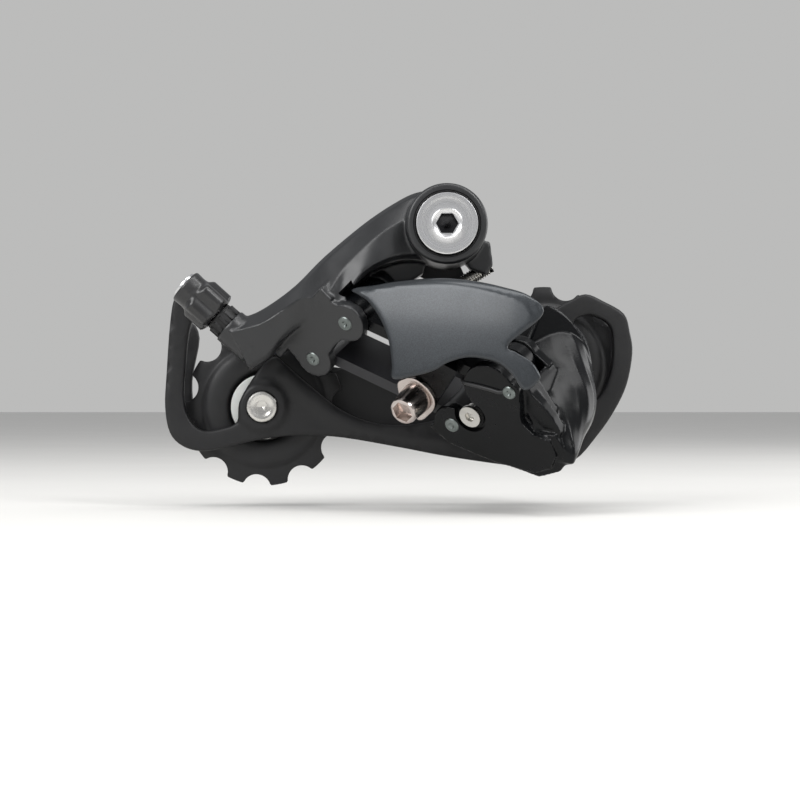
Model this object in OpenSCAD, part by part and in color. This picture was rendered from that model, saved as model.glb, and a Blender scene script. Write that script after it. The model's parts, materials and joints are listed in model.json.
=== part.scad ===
// Rear bicycle derailleur, drive side. +X forward, +Y inboard towards the wheel, +Z up.
// The origin is on the hanger bolt's axis, at the face that seats on the frame's hanger.

/* [Hanger bolt and knuckle] */
// Thread diameter of the hanger bolt
hanger_thread_d = 10; // [9:0.5:11]
// Length of thread past the hanger face
hanger_thread_len = 9; // [7:0.5:12]
// Diameter of the bolt's shank, where the knuckle turns
shank_d = 11; // [10.6:0.1:12]
// Diameter of the bolt's head
bolt_head_d = 16; // [13:0.5:16.4]
// Outer diameter of the knuckle
knuckle_d = 21; // [20:0.5:24]
// Distance from the hanger face to the knuckle's front
knuckle_len = 25; // [22:0.5:30]
// Width across the flats of the hex sockets in the large bolts
hex_key = 5; // [4:0.5:6]

/* [Linkage] */
// Distance between a link's two pins
link_len = 42.5; // [38:0.5:52]
// Distance between the two pins on one body
pin_gap = 17.7; // [16.5:0.1:19]
// Diameter of the link pins
pin_d = 4; // [3:0.1:4.4]
// Outer diameter of a link's ends
link_end_d = 10; // [8.5:0.1:10.4]
// Width of the links along their pins
link_w = 13; // [11:0.5:13]
// Thickness of the links' webs
link_web = 3.2; // [2.4:0.1:4]
// Thickness of the ears that hold the pins
ear_t = 3; // [2.4:0.1:3.2]

/* [Cage] */
// Distance between the two pulleys' axes
pulley_gap = 77.5; // [70:0.5:94]
// Number of teeth on a pulley
teeth = 11; // [10:1:12]
// Pitch of the chain
chain_pitch = 12.7; // [12.6:0.1:12.8]
// Width of a tooth
tooth_w = 2.4; // [2:0.1:2.6]
// Gap between the cage plates
cage_gap = 8.2; // [7.8:0.1:9]
// Thickness of the outer cage plate
outer_plate_t = 3; // [2.4:0.1:3.4]
// Thickness of the inner cage plate
inner_plate_t = 2; // [1.5:0.1:2.6]
// Diameter of the pulley bolts
pulley_bolt_d = 5; // [4:0.5:5.5]
// Outer diameter of the bearing sleeves in the pulleys
sleeve_d = 9; // [8:0.5:10]
// Diameter of the pulleys' dust caps
dust_cap_d = 17.6; // [15:0.2:17.8]

/* [Cage pivot] */
// Diameter of the cage's axle
axle_d = 8; // [7:0.1:10]
// Outer diameter of the P-body's barrel
barrel_d = 23; // [21:0.5:24]
// Diameter of the spring chamber in the barrel
chamber_d = 16; // [14:0.5:18]

/* [Cable adjuster] */
// Diameter of the knob at its outer end
knob_d = 9.7; // [9:0.1:10.5]
// Diameter across the knob's lobes
knob_lobe_d = 12.8; // [11.5:0.1:13.2]
// Length of the knob
knob_len = 11.6; // [10:0.1:13]
// Thread diameter of the adjuster's bolt
adjuster_thread_d = 5; // [4.5:0.1:5.5]
// Diameter of the socket that holds the cable housing's end
socket_d = 5.2; // [4.6:0.1:5.6]
// Depth of that socket
socket_depth = 7; // [5:0.5:8]

/* [Fits] */
// Radial clearance of shafts and pins that turn
running_fit = 0.05; // [0.02:0.01:0.1]
// Gap between pieces that move past each other
gap = 0.3; // [0.2:0.05:0.4]

/* [Hidden] */
$fn = 64;

// Knuckle, measured along Y from the hanger face
plate_t = 1.6;
knuckle_back = -plate_t - 0.2;
knuckle_front = -knuckle_len;
web_front = knuckle_front + 2.8;
web_back = web_front + 3;
head_t = 2.2;
head_front = knuckle_front - 0.8;
ring_groove = 0.3;
circlip_t = 0.9;
spring_bore_d = knuckle_d - 4.4;
spring_wire = 1.8;

// Linkage: the link frame's z runs along the pins, outboard, down and to the rear
link_origin = [-35.2, -8, -34.4];
link_tilt = [135, 45, 0];
link_angle = 26.6;
b_in = [0, 0];
b_out = [0, pin_gap];
p_in = link_len * [cos(link_angle), sin(link_angle)];
p_out = p_in + [0, pin_gap];
// The pieces past the links are drawn for links of this length, and shift as one with any other
drawn_link = 42.5;
end_in = drawn_link * [cos(link_angle), sin(link_angle)];
end_out = end_in + [0, pin_gap];
end_shift = (link_len - drawn_link)
    * (cos(link_angle) * [1, 0, -1] / sqrt(2) + sin(link_angle) * [0.5, -1 / sqrt(2), 0.5]);
ear_front = -0.2;
link_front = ear_front - ear_t - gap;
link_back = link_front - link_w;
back_ear = link_back - gap;
pin_back = back_ear - ear_t - 0.2;
bore_d = pin_d + 2 * running_fit;

// Cage, measured along Y; the pivot and the pulleys lie in the XZ plane
pivot = [25, -47];
guide = [27.4, -35.8];
cage_slope = 8.3;
tension = guide + pulley_gap * [-cos(cage_slope), -sin(cage_slope)];
// The plates are drawn for this gap between the pulleys, and their arms stretch to any other
drawn_gap = 77.5;
arm_start = 0;
arm_end = -35;
barrel_back = 2.4;
plate_front = barrel_back + 0.5;
plate_back = plate_front + outer_plate_t;
inner_front = plate_back + cage_gap;
inner_back = inner_front + inner_plate_t;
pulley_y = (plate_back + inner_front) / 2;
pitch_r = chain_pitch / 2 / sin(180 / teeth);
roller_r = 3.95;
tip_r = pitch_r - 0.9;
cap_t = 1.2;
sleeve_half = cage_gap / 2 - cap_t - 0.1;
hub_half = sleeve_half - 0.1;

// Cable adjuster: its own z runs outward along the thread
adjuster_at = [-57.3, -7, -25.4];
adjuster_turn = [0, -48.1, 0];
collar_len = 4;
knob_start = collar_len + 0.2;
knob_end = knob_start + knob_len;
thread_depth = 9;
bolt_stand = 0.8;

// Screws
tension_screw_at = [5.4, -5, -13.6];
tension_screw_turn = [0, 57.7, 0];
tension_screw_d = 4;
tension_screw_len = 9.6;
tension_screw_tip = -1.6;
limit_screw_d = 3;
limit_screw_z = -13.5;
h_screw_y = -5.7;
l_screw_y = 7.3;
limit_tip_x = -4.6;
spine_x = [-11, -link_end_d / 2 - 1.8];
cable_bolt_at = [26.6, 18];
lug_back = link_front + gap;
lug_front = ear_front - 0.2;

// A cylinder along Y through (at[0], at[1]) in the XZ plane
module y_rod(at, y0, y1, d) translate([at[0], y1, at[1]]) rotate([90, 0, 0]) cylinder(h = y1 - y0, d = d);
// A slab with an XZ outline
module y_slab(y0, y1) translate([0, y1, 0]) rotate([90, 0, 0]) linear_extrude(height = y1 - y0) children();
// Places what hangs on the links' far end
module at_link_end() translate(end_shift) children();
// Places its children in the link frame
module in_links() translate(link_origin) rotate(link_tilt) children();
// A cylinder along a link pin
module z_rod(at, z0, z1, d) translate([at[0], at[1], z0]) cylinder(h = z1 - z0, d = d);
// A slab with an outline in the link plane
module z_slab(z0, z1) translate([0, 0, z0]) linear_extrude(height = z1 - z0) children();
module in_adjuster() translate(adjuster_at) rotate(adjuster_turn) children();
// A hex socket cut along z, its mouth at z = 0
module hex_cut(key, depth) translate([0, 0, -depth]) cylinder(h = depth + 1, d = key / cos(30), $fn = 6);
// A flat ring along Y
module y_ring(at, y0, y1, d_out, d_in) difference() {
    y_rod(at, y0, y1, d_out);
    y_rod(at, y0 - 1, y1 + 1, d_in);
}
// One point of a smooth closed curve that passes through the given points
function curve_point(a, b, c, d, t) =
    0.5 * (2 * b + (c - a) * t + (2 * a - 5 * b + 4 * c - d) * t * t + (3 * b - a - 3 * c + d) * t * t * t);
// A smooth closed curve through the given points
function smooth(p, steps = 4) = let (n = len(p)) [for (i = [0:n - 1], k = [0:steps - 1])
    curve_point(p[(i + n - 1) % n], p[i], p[(i + 1) % n], p[(i + 2) % n], k / steps)];

// A cage plate's outline, with the end round the tension pulley moved to where that pulley is
function stretched(p) = [for (q = p) q - (pulley_gap - drawn_gap)
    * min(max((arm_start - q[0]) / (arm_start - arm_end), 0), 1) * [cos(cage_slope), sin(cage_slope)]];

module hanger_bolt() color("silver") difference() {
    union() {
        y_rod([0, 0], head_front, head_front + head_t, bolt_head_d);
        y_rod([0, 0], head_front + head_t - 0.1, 0, shank_d);
        y_rod([0, 0], -0.1, hanger_thread_len, hanger_thread_d);
    }
    translate([0, head_front, 0]) rotate([90, 0, 0]) hex_cut(hex_key + 0.1, 5);
    y_ring([0, 0], web_back + gap - 0.1, web_back + gap + circlip_t + 0.1, shank_d + 2, shank_d - 2 * ring_groove);
}

// The pie slice between two angles, out to a radius
module sector(r, from, to) intersection() {
    circle(r = r);
    polygon([[0, 0], 2 * r * [cos(from), sin(from)], 2 * r * [cos((from + to) / 2), sin((from + to) / 2)],
        2 * r * [cos(to), sin(to)]]);
}

tab_angles = [-89, -77];
tab_r = knuckle_d / 2 + 4.9;
module stopper_plate() color("dimgray") difference() {
    union() {
        y_rod([0, 0], -plate_t, 0, knuckle_d - 1);
        y_slab(-plate_t, 0) sector(tab_r - plate_t, -136, -66);
        y_slab(-plate_t, 0) sector(tab_r, tab_angles[0], tab_angles[1]);
        y_slab(-8, 0) difference() {
            sector(tab_r, tab_angles[0], tab_angles[1]);
            circle(r = tab_r - plate_t);
        }
    }
    y_rod([0, 0], -plate_t - 1, 1, shank_d);
}

module b_circlip() color("gray") difference() {
    y_ring([0, 0], web_back + gap, web_back + gap + circlip_t, shank_d + 3, shank_d - 2 * ring_groove + 0.02);
    translate([0, 0, -shank_d]) cube([3, 4 * knuckle_len, 2 * shank_d], center = true);
}

arm_outline = [[-3, 9.9], [-12.3, 6.8], [-18.3, 3.4], [-24.3, -1.6], [-30.3, -6], [-37.1, -12.8], [-42.8, -17.2],
    [-47.5, -20.6], [-51.5, -22.6], [-54.3, -23.1], [-59.9, -29.3], [-50.6, -38.4], [-44.9, -32.1], [-42.8, -29.2],
    [-37.1, -25.3], [-28.5, -21.9], [-26.2, -22.2], [-22.3, -25.6], [-21.3, -21], [-26.3, -16.6], [-19.8, -11.6],
    [-14.8, -9.2], [-9, -8.4], [-3, -9.9]];
arm_plan = [[-64, -12.6], [-50, -13.4], [-40, -15], [-31, -20.4], [-21, -22.2], [-8, -21.4], [0, -21.4],
    [0, -2], [-12, -2.4], [-28, -6.8], [-46, -6.8], [-50, -1.2], [-64, -1.2]];
rear_web = [[-24, -12], [-16, -14.6], [-9, -13.8], [-5.8, -11.6], [-5, -7], [-14, -7]];
screw_tab = [[5, -8.6], [9.6, -3], [11.8, -3.2], [12.6, -9.4], [10.8, -12.2], [6.6, -10.6]];
module b_body() color("#2b2c2e") difference() {
    union() {
        y_rod([0, 0], knuckle_front, knuckle_back, knuckle_d);
        intersection() {
            y_slab(-knuckle_len, 0) polygon(arm_outline);
            translate([0, 0, -60]) linear_extrude(height = 90) polygon(arm_plan);
        }
        y_slab(-8, -2.2) polygon(screw_tab);
        y_slab(-9, -2.4) polygon(rear_web);
        in_links() {
            z_rod(b_in, ear_front - ear_t, ear_front, link_end_d + 0.6);
            z_rod(b_out, ear_front - ear_t, ear_front, link_end_d + 0.6);
            z_slab(ear_front - ear_t, ear_front)
                polygon([[-11, -4], [-2, -4.9], [3, 4], [3, 13], [1, 22.6], [-11, 20]]);
            z_rod(b_in, back_ear - ear_t, back_ear, link_end_d + 0.6);
            z_rod(b_out, back_ear - ear_t, back_ear, link_end_d + 0.6);
            z_slab(back_ear - ear_t, back_ear) polygon([[-11, -9], [-1, -5.2], [2, 3], [2, 15], [0, 22.9], [-11, 20]]);
            z_slab(back_ear - ear_t, ear_front)
                polygon([[spine_x[0], -9], [spine_x[1], -9], [spine_x[1], 20], [spine_x[0], 20]]);
        }
        in_adjuster() translate([0, 0, -thread_depth]) cylinder(h = thread_depth, d = 9.4);
    }
    y_rod([0, 0], knuckle_front - 1, web_front, bolt_head_d + 1.4);
    y_rod([0, 0], web_front - 1, web_back + 1, shank_d + 2 * running_fit);
    y_rod([0, 0], web_back, knuckle_back + 1, spring_bore_d);
    y_ring([0, 0], -plate_t - 0.2, 1, 60, 0.1);
    in_links() {
        z_slab(back_ear, ear_front - ear_t) polygon([[spine_x[1], -40], [spine_x[1], b_out[1] + 6.6],
            [0, b_out[1] + 6.9], [60, b_out[1] + 37], [60, -40]]);
        z_rod(b_in, pin_back - 1, ear_front + 1, pin_d);
        z_rod(b_out, pin_back - 1, ear_front + 1, pin_d);
        for (y = [h_screw_y, l_screw_y]) translate([spine_x[0] - 20, y, limit_screw_z]) rotate([0, 90, 0])
            cylinder(h = 30, d = limit_screw_d + 2 * running_fit);
        for (y = [h_screw_y, l_screw_y]) translate([spine_x[0] - 9, y, limit_screw_z]) rotate([0, 90, 0])
            cylinder(h = 9, d = 2 * limit_screw_d + 0.4);
    }
    in_adjuster() {
        translate([0, 0, -thread_depth]) cylinder(h = 30, d = adjuster_thread_d + 2 * running_fit);
        translate([0, 0, -30]) cylinder(h = 30, d = 2.2);
    }
    translate(tension_screw_at) rotate(tension_screw_turn) cylinder(h = 12, d = tension_screw_d + 2 * running_fit);
}

module b_seal_ring() color("black")
    y_ring([0, 0], knuckle_front + 0.4, web_front, bolt_head_d + 1.4, bolt_head_d + 0.3);

// A close-wound coil along Y, as the tube that its turns fill
module b_spring() color("slategray")
    y_ring([0, 0], web_back + circlip_t + 2 * gap, knuckle_back - gap, spring_bore_d - 2 * gap,
        spring_bore_d - 2 * gap - 2 * spring_wire);

module link_pin(at, z0, z1) in_links() z_rod(at, z0, z1, pin_d);
module b_pin_inner() color("darkseagreen") link_pin(b_in, pin_back, ear_front + 0.4);
module b_pin_outer() color("darkseagreen") link_pin(b_out, pin_back, ear_front + 0.4);
module p_pin_inner() color("darkseagreen") link_pin(p_in, pin_back, ear_front + 0.4);
module p_pin_outer() color("darkseagreen") link_pin(p_out, pin_back, ear_front - 1.4);

// The ring of small teeth that the knob clicks round on
module adjuster_collar() color("black") in_adjuster() difference() {
    union() {
        translate([0, 0, 0.05]) cylinder(h = collar_len - 0.05, d = 8);
        for (a = [0:30:359]) rotate(a) translate([3.4, -0.6, 0.05]) cube([1.1, 1.2, collar_len - 0.85]);
    }
    translate([0, 0, -1]) cylinder(h = collar_len + 2, d = adjuster_thread_d + 2 * gap);
}

module adjuster_knob() color("black") in_adjuster() difference() {
    union() {
        translate([0, 0, knob_start]) cylinder(h = knob_len, d = knob_d);
        for (a = [18:72:359]) rotate(a) translate([(knob_lobe_d - 5) / 2, 0, knob_start + 0.3])
            cylinder(h = knob_len * 0.6, d = 5);
    }
    translate([0, 0, knob_start - 1]) cylinder(h = knob_len + 2, d = socket_d + 2.4 + 2 * gap);
}

module adjuster_bolt() color("silver") in_adjuster() difference() {
    union() {
        translate([0, 0, -thread_depth + 0.2]) cylinder(h = thread_depth + 6, d = adjuster_thread_d);
        translate([0, 0, knob_start + 1]) cylinder(h = knob_len - 1 + bolt_stand, d = socket_d + 2.4);
    }
    translate([0, 0, knob_end + bolt_stand - socket_depth]) cylinder(h = socket_depth + 1, d = socket_d);
    translate([0, 0, -30]) cylinder(h = 60, d = 2);
}

module b_tension_screw() color("silver") translate(tension_screw_at) rotate(tension_screw_turn) difference() {
    translate([0, 0, tension_screw_tip]) cylinder(h = tension_screw_len, d = tension_screw_d);
    translate([0, 0, tension_screw_tip + tension_screw_len]) for (a = [0, 90]) rotate(a)
        cube([3, 0.8, 2.4], center = true);
}

// A small pan-head screw through the spine; its tip limits the inner link's heel
module limit_screw(y) color("silver") in_links() translate([limit_tip_x, y, limit_screw_z]) rotate([0, -90, 0])
    difference() {
        union() {
            cylinder(h = 10.4, d = limit_screw_d);
            translate([0, 0, 10.4]) cylinder(h = 1.9, d = 2 * limit_screw_d - 0.4);
        }
        translate([0, 0, 12.3]) for (a = [0, 90]) rotate(a) cube([3.6, 0.8, 2], center = true);
    }
module h_limit_screw() limit_screw(h_screw_y);
module l_limit_screw() limit_screw(l_screw_y);

// A link's straight web between its two ends, at a height along the pins
module link_web(from, z0, z1) translate([from[0], from[1], z0]) rotate(link_angle)
    translate([0, -link_web / 2, 0]) cube([link_len, link_web, z1 - z0]);

coil_room = [link_front - 3.4, link_back + 3.4];
cover_center = [72, 148.5, -52];
cover_r = 200;
cover_t = 1.8;
module outer_link() color("#3a3d40") difference() {
    union() {
        in_links() {
            z_rod(b_out, link_back, link_front, link_end_d);
            z_rod(p_out, link_back, link_front, link_end_d);
            link_web(b_out, link_back, link_front);
            z_slab(lug_back, lug_front)
                polygon([[20, 29.6], [29, 33.4], [30.5, 24], [31.5, 17], [29.4, 12.8], [23.6, 12.6], [21, 20]]);
            z_slab(link_front - 1, lug_back + 0.1) polygon([[20, 26.2], [20, 29.2], [29, 33.7], [29, 30.7]]);
        }
        intersection() {
            in_links() for (z = [link_front - 2.4, link_back + 0.6]) z_slab(z, z + 1.8)
                polygon([[8, 21.6], [27.2, 31.2], [27.2, 60], [8, 60]]);
            translate(cover_center) sphere(r = cover_r - cover_t - 0.05, $fn = 128);
            y_slab(-80, 20) polygon(cover_outline);
        }
    }
    in_links() {
        z_rod(b_out, link_back - 1, link_front + 1, bore_d);
        z_rod(p_out, link_back - 1, link_front + 1, bore_d);
        z_rod(p_out, coil_room[1], coil_room[0], link_end_d + 1);
        z_rod(cable_bolt_at, lug_back - 2, lug_front + 1, 5);
    }
}

cover_outline = [[-24.6, -16.8], [-18, -15.7], [-12, -14.9], [-2, -14.4], [6, -15.3], [13, -16.9], [20, -19.4], [23.2, -24],
    [14.8, -31.4], [16.6, -33.4], [19.8, -35.4], [21.6, -37.6], [22.2, -40.2], [18.6, -42.8], [15.6, -39], [12.6, -36.2],
    [8.6, -34.9], [4.4, -34.6], [0, -35.8], [-3.6, -37.8], [-8, -39], [-13.8, -39.8], [-14.2, -36], [-15, -30],
    [-17.2, -24.4], [-20.6, -19.6]];
module link_cover() color("#4a4f54") intersection() {
    difference() {
        translate(cover_center) sphere(r = cover_r, $fn = 128);
        translate(cover_center) sphere(r = cover_r - cover_t, $fn = 128);
    }
    y_slab(-80, 20) polygon(cover_outline);
}

clamp_front = lug_front + 0.05 + 1.3;
module cable_plate() color("lightsteelblue") in_links() difference() {
    z_slab(lug_front + 0.05, clamp_front) union() {
        translate(cable_bolt_at) circle(d = 10.4);
        translate(cable_bolt_at) polygon([[0, -5.2], [4.6, -5.2], [5.4, -1], [5.1, 2], [-5.6, 2], [-6.2, -1]]);
    }
    z_rod(cable_bolt_at, -20, 20, 5.2);
}

module cable_bolt() color("lightgray") in_links() translate([cable_bolt_at[0], cable_bolt_at[1], 0]) difference() {
    union() {
        translate([0, 0, lug_back]) cylinder(h = clamp_front + 1 - lug_back, d = 5);
        translate([0, 0, clamp_front + 0.05]) cylinder(h = 7.2, d1 = 8.4, d2 = 7.4);
    }
    translate([0, 0, clamp_front + 7.25]) hex_cut(hex_key, 4);
}

// The heel that meets the limit screws' tips
heel = [199, 212];
heel_r = link_end_d / 2 + 1.4;
module inner_link() color("#26272a") in_links() difference() {
    union() {
        z_rod(b_in, link_back, link_front, link_end_d);
        z_rod(p_in, link_back, link_front, link_end_d);
        link_web(b_in, link_back, link_front);
        z_slab(link_back, link_front)
            polygon([[0, 0], heel_r * [cos(heel[0]), sin(heel[0])], heel_r * [cos(heel[1]), sin(heel[1])]]);
    }
    z_rod(b_in, link_back - 1, link_front + 1, bore_d);
    z_rod(p_in, link_back - 1, link_front + 1, bore_d);
}

lobe_gap = link_end_d / 2 + 1;
solid_x = end_in[0] + lobe_gap;
face_outline = [[34, 12.9], [41, 13.6], [53, 20], [63, 26.6], [65.4, 33], [64.4, 38.6], [57.6, 40.4], [53.8, 36.6],
    [49.4, 36.6], [43, 44]];
mid_outline = [[solid_x, 14.8], [53, 19.4], [60, 25], [63.4, 31], [63.4, 37.4], [57, 41.4], [50, 43.4], [solid_x, 45]];
rear_outline = [[solid_x, 16], [52, 19], [58, 24], [62, 30], [63, 36.6], [60.6, 42.4], [56, 47.4], [50, 50], [solid_x, 51]];
// The wall that curves up in front of the guide pulley
hood_outline = [[25.4, -20.6], [29.6, -21.8], [33.8, -25.8], [37.2, -31.6], [38.4, -38.4], [38.9, -44.2], [37.8, -50],
    [34.6, -56], [30, -59], [24, -52], [19.8, -42], [20.2, -34], [22.8, -26.4]];
hood_hollow = [[26, -24], [29.4, -25], [32.4, -28], [35, -32.8], [36.2, -39], [36.6, -44.4], [36, -48], [25, -47],
    [22.6, -34]];
hood_y = [-19, -3];
stop_lug_angles = [160, 190];
stop_pin_angle = 206;
stop_pin_r = barrel_d / 2 + 2.2;
stop_pin_d = 3;
anchor_at = [41.9, 41.2];
stop_screw_at = [39.6, 25.8];
module p_body() color("#1d1e21") at_link_end() difference() {
    union() {
        y_rod(pivot, -20.5, barrel_back, barrel_d);
        in_links() {
            z_slab(ear_front - ear_t, ear_front) union() {
                polygon(face_outline);
                translate(end_in) circle(d = link_end_d + 0.8);
                translate(end_out) circle(d = link_end_d + 3);
            }
            z_slab(-9, ear_front - ear_t + 0.1) polygon(mid_outline);
            z_slab(back_ear - ear_t, -8.9) polygon(rear_outline);
            z_slab(back_ear - ear_t, back_ear) {
                polygon([[36, 14.2], [solid_x + 1, 15.4], [solid_x + 1, 42], [36, 41.6]]);
                translate(end_in) circle(d = link_end_d + 0.8);
                translate(end_out) circle(d = link_end_d + 0.8);
            }
        }
        y_slab(hood_y[0], hood_y[1]) polygon(smooth(hood_outline));
        y_slab(-3, barrel_back) translate(pivot) sector(stop_pin_r + 1.6, stop_lug_angles[0], stop_lug_angles[1]);
    }
    difference() {
        y_slab(hood_y[0] + 4, hood_y[1] + 1) polygon(hood_hollow);
        y_rod(pivot, -30, 10, barrel_d - 0.1);
    }
    in_links() {
        z_slab(back_ear, ear_front - ear_t) polygon([[-10, -60], [solid_x, -60], [solid_x, 60], [-10, 60]]);
        z_rod(end_in, pin_back - 1, ear_front + 1, pin_d);
        z_rod(end_out, pin_back - 1, ear_front - 1.4, pin_d);
        z_rod(anchor_at, ear_front - ear_t - 1, ear_front + 1, 3.6);
        z_rod(stop_screw_at, ear_front - ear_t - 1, ear_front + 1, 5);
        z_rod(stop_screw_at, ear_front - 1.2, ear_front + 1, 9);
    }
    y_rod(pivot, -30, barrel_back + 1, axle_d + 2 * running_fit);
    y_rod(pivot, -13.5, barrel_back + 1, chamber_d);
    y_slab(barrel_back, 60) square(300, center = true);
}

module spring_anchor_pin() color("darkseagreen") at_link_end() in_links() z_rod(anchor_at, ear_front - ear_t, ear_front + 0.5, 3.6);

module p_stop_screw() color("silver") at_link_end() in_links() translate([stop_screw_at[0], stop_screw_at[1], 0]) difference() {
    union() {
        translate([0, 0, ear_front - ear_t]) cylinder(h = ear_t, d = 5);
        translate([0, 0, ear_front - 1.2]) cylinder(h = 1.5, d = 6.2);
    }
    translate([0, 0, ear_front + 0.3]) hex_cut(2.5, 1.6);
}

// The coil round the outer pin, as the tube that its turns fill
module return_spring() color("slategray") in_links() difference() {
    z_rod(p_out, coil_room[1] + gap, coil_room[0] - gap, link_end_d);
    z_rod(p_out, link_back, link_front, pin_d + 2 * gap);
}

module p_spring() color("slategray") at_link_end()
    y_ring(pivot, -13.5 + gap, barrel_back - 0.4, chamber_d - 0.8, chamber_d - 0.8 - 2 * spring_wire);

// Outline of the outer plate: an open hook round the tension pulley, a long arm and a loop at the front
plate_outline = [[-68.8, -15.2], [-72.8, -17], [-74.3, -24], [-75.3, -38], [-75.7, -47], [-74.4, -54], [-71, -57.6],
    [-66, -59], [-60, -58.2], [-53, -56.5], [-46, -55.3], [-38, -54.7], [-27, -55.4], [-12, -58], [0, -60.3], [14, -62.4],
    [26, -63.6], [35, -61.6], [41.5, -54.6], [46.1, -47.9], [49.4, -40.8], [50.9, -32.4], [50.2, -26.8], [48.6, -21.8],
    [43, -18.4], [38.2, -16.5], [33.6, -18.4], [27, -22], [19, -26], [14.6, -33], [12, -41], [6, -47.6], [-4, -51],
    [-14, -52], [-22, -50.6], [-29, -47.2], [-34.6, -42.8], [-39.6, -38.6], [-43.6, -35], [-46.2, -33.4],
    [-49.4, -36], [-52.8, -40.6], [-55.6, -46], [-56.2, -51], [-60, -52.8], [-65.6, -53.4], [-69, -50.4],
    [-70.6, -45], [-70.2, -36], [-69.2, -27], [-67.4, -21], [-66.4, -17]];
loop_window = [[34.8, -24.4], [37.4, -22.4], [40.4, -22.4], [44.6, -25], [45.6, -29.8], [45.2, -36.2], [43.1, -42.2],
    [40.6, -45.2], [39.2, -42], [38.8, -34], [37.6, -28.6]];
module cage_outer_plate() color("#18191a") at_link_end() difference() {
    union() {
        y_slab(plate_front, plate_back) difference() {
            polygon(smooth(stretched(plate_outline)));
            polygon(smooth(loop_window));
        }
        y_rod(tension, plate_front - 1.4, plate_back, 11.6);
    }
    y_rod(pivot, plate_front - 1, plate_back + 1, axle_d);
    y_rod(guide, plate_front - 1, plate_back + 1, pulley_bolt_d);
    y_rod(tension, plate_front - 2, plate_back + 1, pulley_bolt_d);
    y_rod(tension, plate_front - 2, plate_front - 0.9, 8.6);
    y_rod(pivot + stop_pin_r * [cos(stop_pin_angle), sin(stop_pin_angle)], plate_front - 1, plate_back + 1, stop_pin_d);
}

inner_outline = [[-70.4, -24], [-73.4, -34], [-74.2, -46], [-71.8, -54], [-66, -57.4], [-58, -56.6], [-48, -54.2],
    [-30, -54.6], [-12, -57.2], [8, -60], [26, -61], [37, -56], [45, -45], [47.6, -33], [44.6, -23], [36, -18.6],
    [26, -21], [17, -27], [9, -34], [-4, -37.4], [-18, -37.6], [-32, -35.8], [-46, -34.6], [-54, -40.6],
    [-57, -49.6], [-63.6, -52.6], [-68.4, -49], [-69.6, -40], [-67.6, -28]];
module cage_inner_plate() color("#1c1d1f") at_link_end() difference() {
    y_slab(inner_front, inner_back) polygon(smooth(stretched(inner_outline)));
    y_rod(guide, inner_front - 1, inner_back + 1, pulley_bolt_d);
    y_rod(tension, inner_front - 1, inner_back + 1, pulley_bolt_d);
}

module p_axle() color("silver") at_link_end() {
    y_rod(pivot, -19.6, plate_back, axle_d);
    y_rod(pivot, barrel_back - 0.2, plate_front, axle_d + 3);
}

module p_seal_ring() color("black") at_link_end()
    y_ring(pivot, barrel_back + 0.05, plate_front - 0.05, barrel_d - 1, chamber_d + 1);

module cage_stop_pin() color("silver") at_link_end()
    y_rod(pivot + stop_pin_r * [cos(stop_pin_angle), sin(stop_pin_angle)], -2.4, plate_back, stop_pin_d);

module pulley_bolt(at, head_y, back) color("silver") at_link_end() difference() {
    union() {
        y_rod(at, head_y, inner_back, pulley_bolt_d);
        if (back) y_rod(at, inner_back, inner_back + 1.8, 8.2);
        else y_rod(at, head_y - 1, head_y + 0.6, 8.2);
    }
    translate([at[0], back ? inner_back + 1.8 : head_y - 1, at[1]]) rotate([back ? -90 : 90, 0, 0])
        hex_cut(3, 1.4);
}
module guide_bolt() pulley_bolt(guide, plate_front, true);
module tension_bolt() pulley_bolt(tension, plate_front - 1.5, false);

module sleeve(at) color("gainsboro") at_link_end()
    y_ring(at, pulley_y - sleeve_half, pulley_y + sleeve_half, sleeve_d, pulley_bolt_d);
module guide_sleeve() sleeve(guide);
module tension_sleeve() sleeve(tension);

module dust_caps(at) color("gainsboro") at_link_end() for (side = [-1, 1]) {
    y0 = side < 0 ? plate_back : inner_front - cap_t;
    y_ring(at, y0, y0 + cap_t, dust_cap_d, pulley_bolt_d);
}
module guide_dust_caps() dust_caps(guide);
module tension_dust_caps() dust_caps(tension);

// A toothed pulley: one tooth per chain pin, with round gaps for the chain's rollers
module pulley(at, turn) color("#232426") at_link_end() difference() {
    union() {
        y_rod(at, pulley_y - tooth_w / 2, pulley_y + tooth_w / 2, 2 * tip_r);
        y_ring(at, pulley_y - hub_half, pulley_y + hub_half, 33, 19);
        y_rod(at, pulley_y - hub_half, pulley_y + hub_half, 14);
    }
    for (i = [0:teeth - 1]) {
        a = turn + i * 360 / teeth;
        y_rod(at + pitch_r * [cos(a), sin(a)], pulley_y - 3, pulley_y + 3, 2 * roller_r);
    }
    y_rod(at, pulley_y - 5, pulley_y + 5, sleeve_d + 2 * running_fit);
}
module guide_pulley() pulley(guide, 74.8);
module tension_pulley() pulley(tension, 68.3);

hanger_bolt();
stopper_plate();
b_circlip();
b_body();
b_seal_ring();
b_spring();
b_pin_inner();
b_pin_outer();
adjuster_collar();
b_tension_screw();
h_limit_screw();
l_limit_screw();
adjuster_knob();
adjuster_bolt();
outer_link();
link_cover();
cable_bolt();
cable_plate();
inner_link();
p_body();
p_pin_inner();
p_pin_outer();
spring_anchor_pin();
p_stop_screw();
return_spring();
p_spring();
cage_outer_plate();
cage_inner_plate();
p_axle();
p_seal_ring();
cage_stop_pin();
guide_bolt();
tension_bolt();
guide_sleeve();
tension_sleeve();
guide_dust_caps();
tension_dust_caps();
guide_pulley();
tension_pulley();
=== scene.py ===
# Rear bicycle derailleur. Sizes in each section are in millimetres, and meshes are made in metres.
import json
import math

import bmesh
import bpy
import numpy as np
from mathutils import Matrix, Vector, geometry


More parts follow.
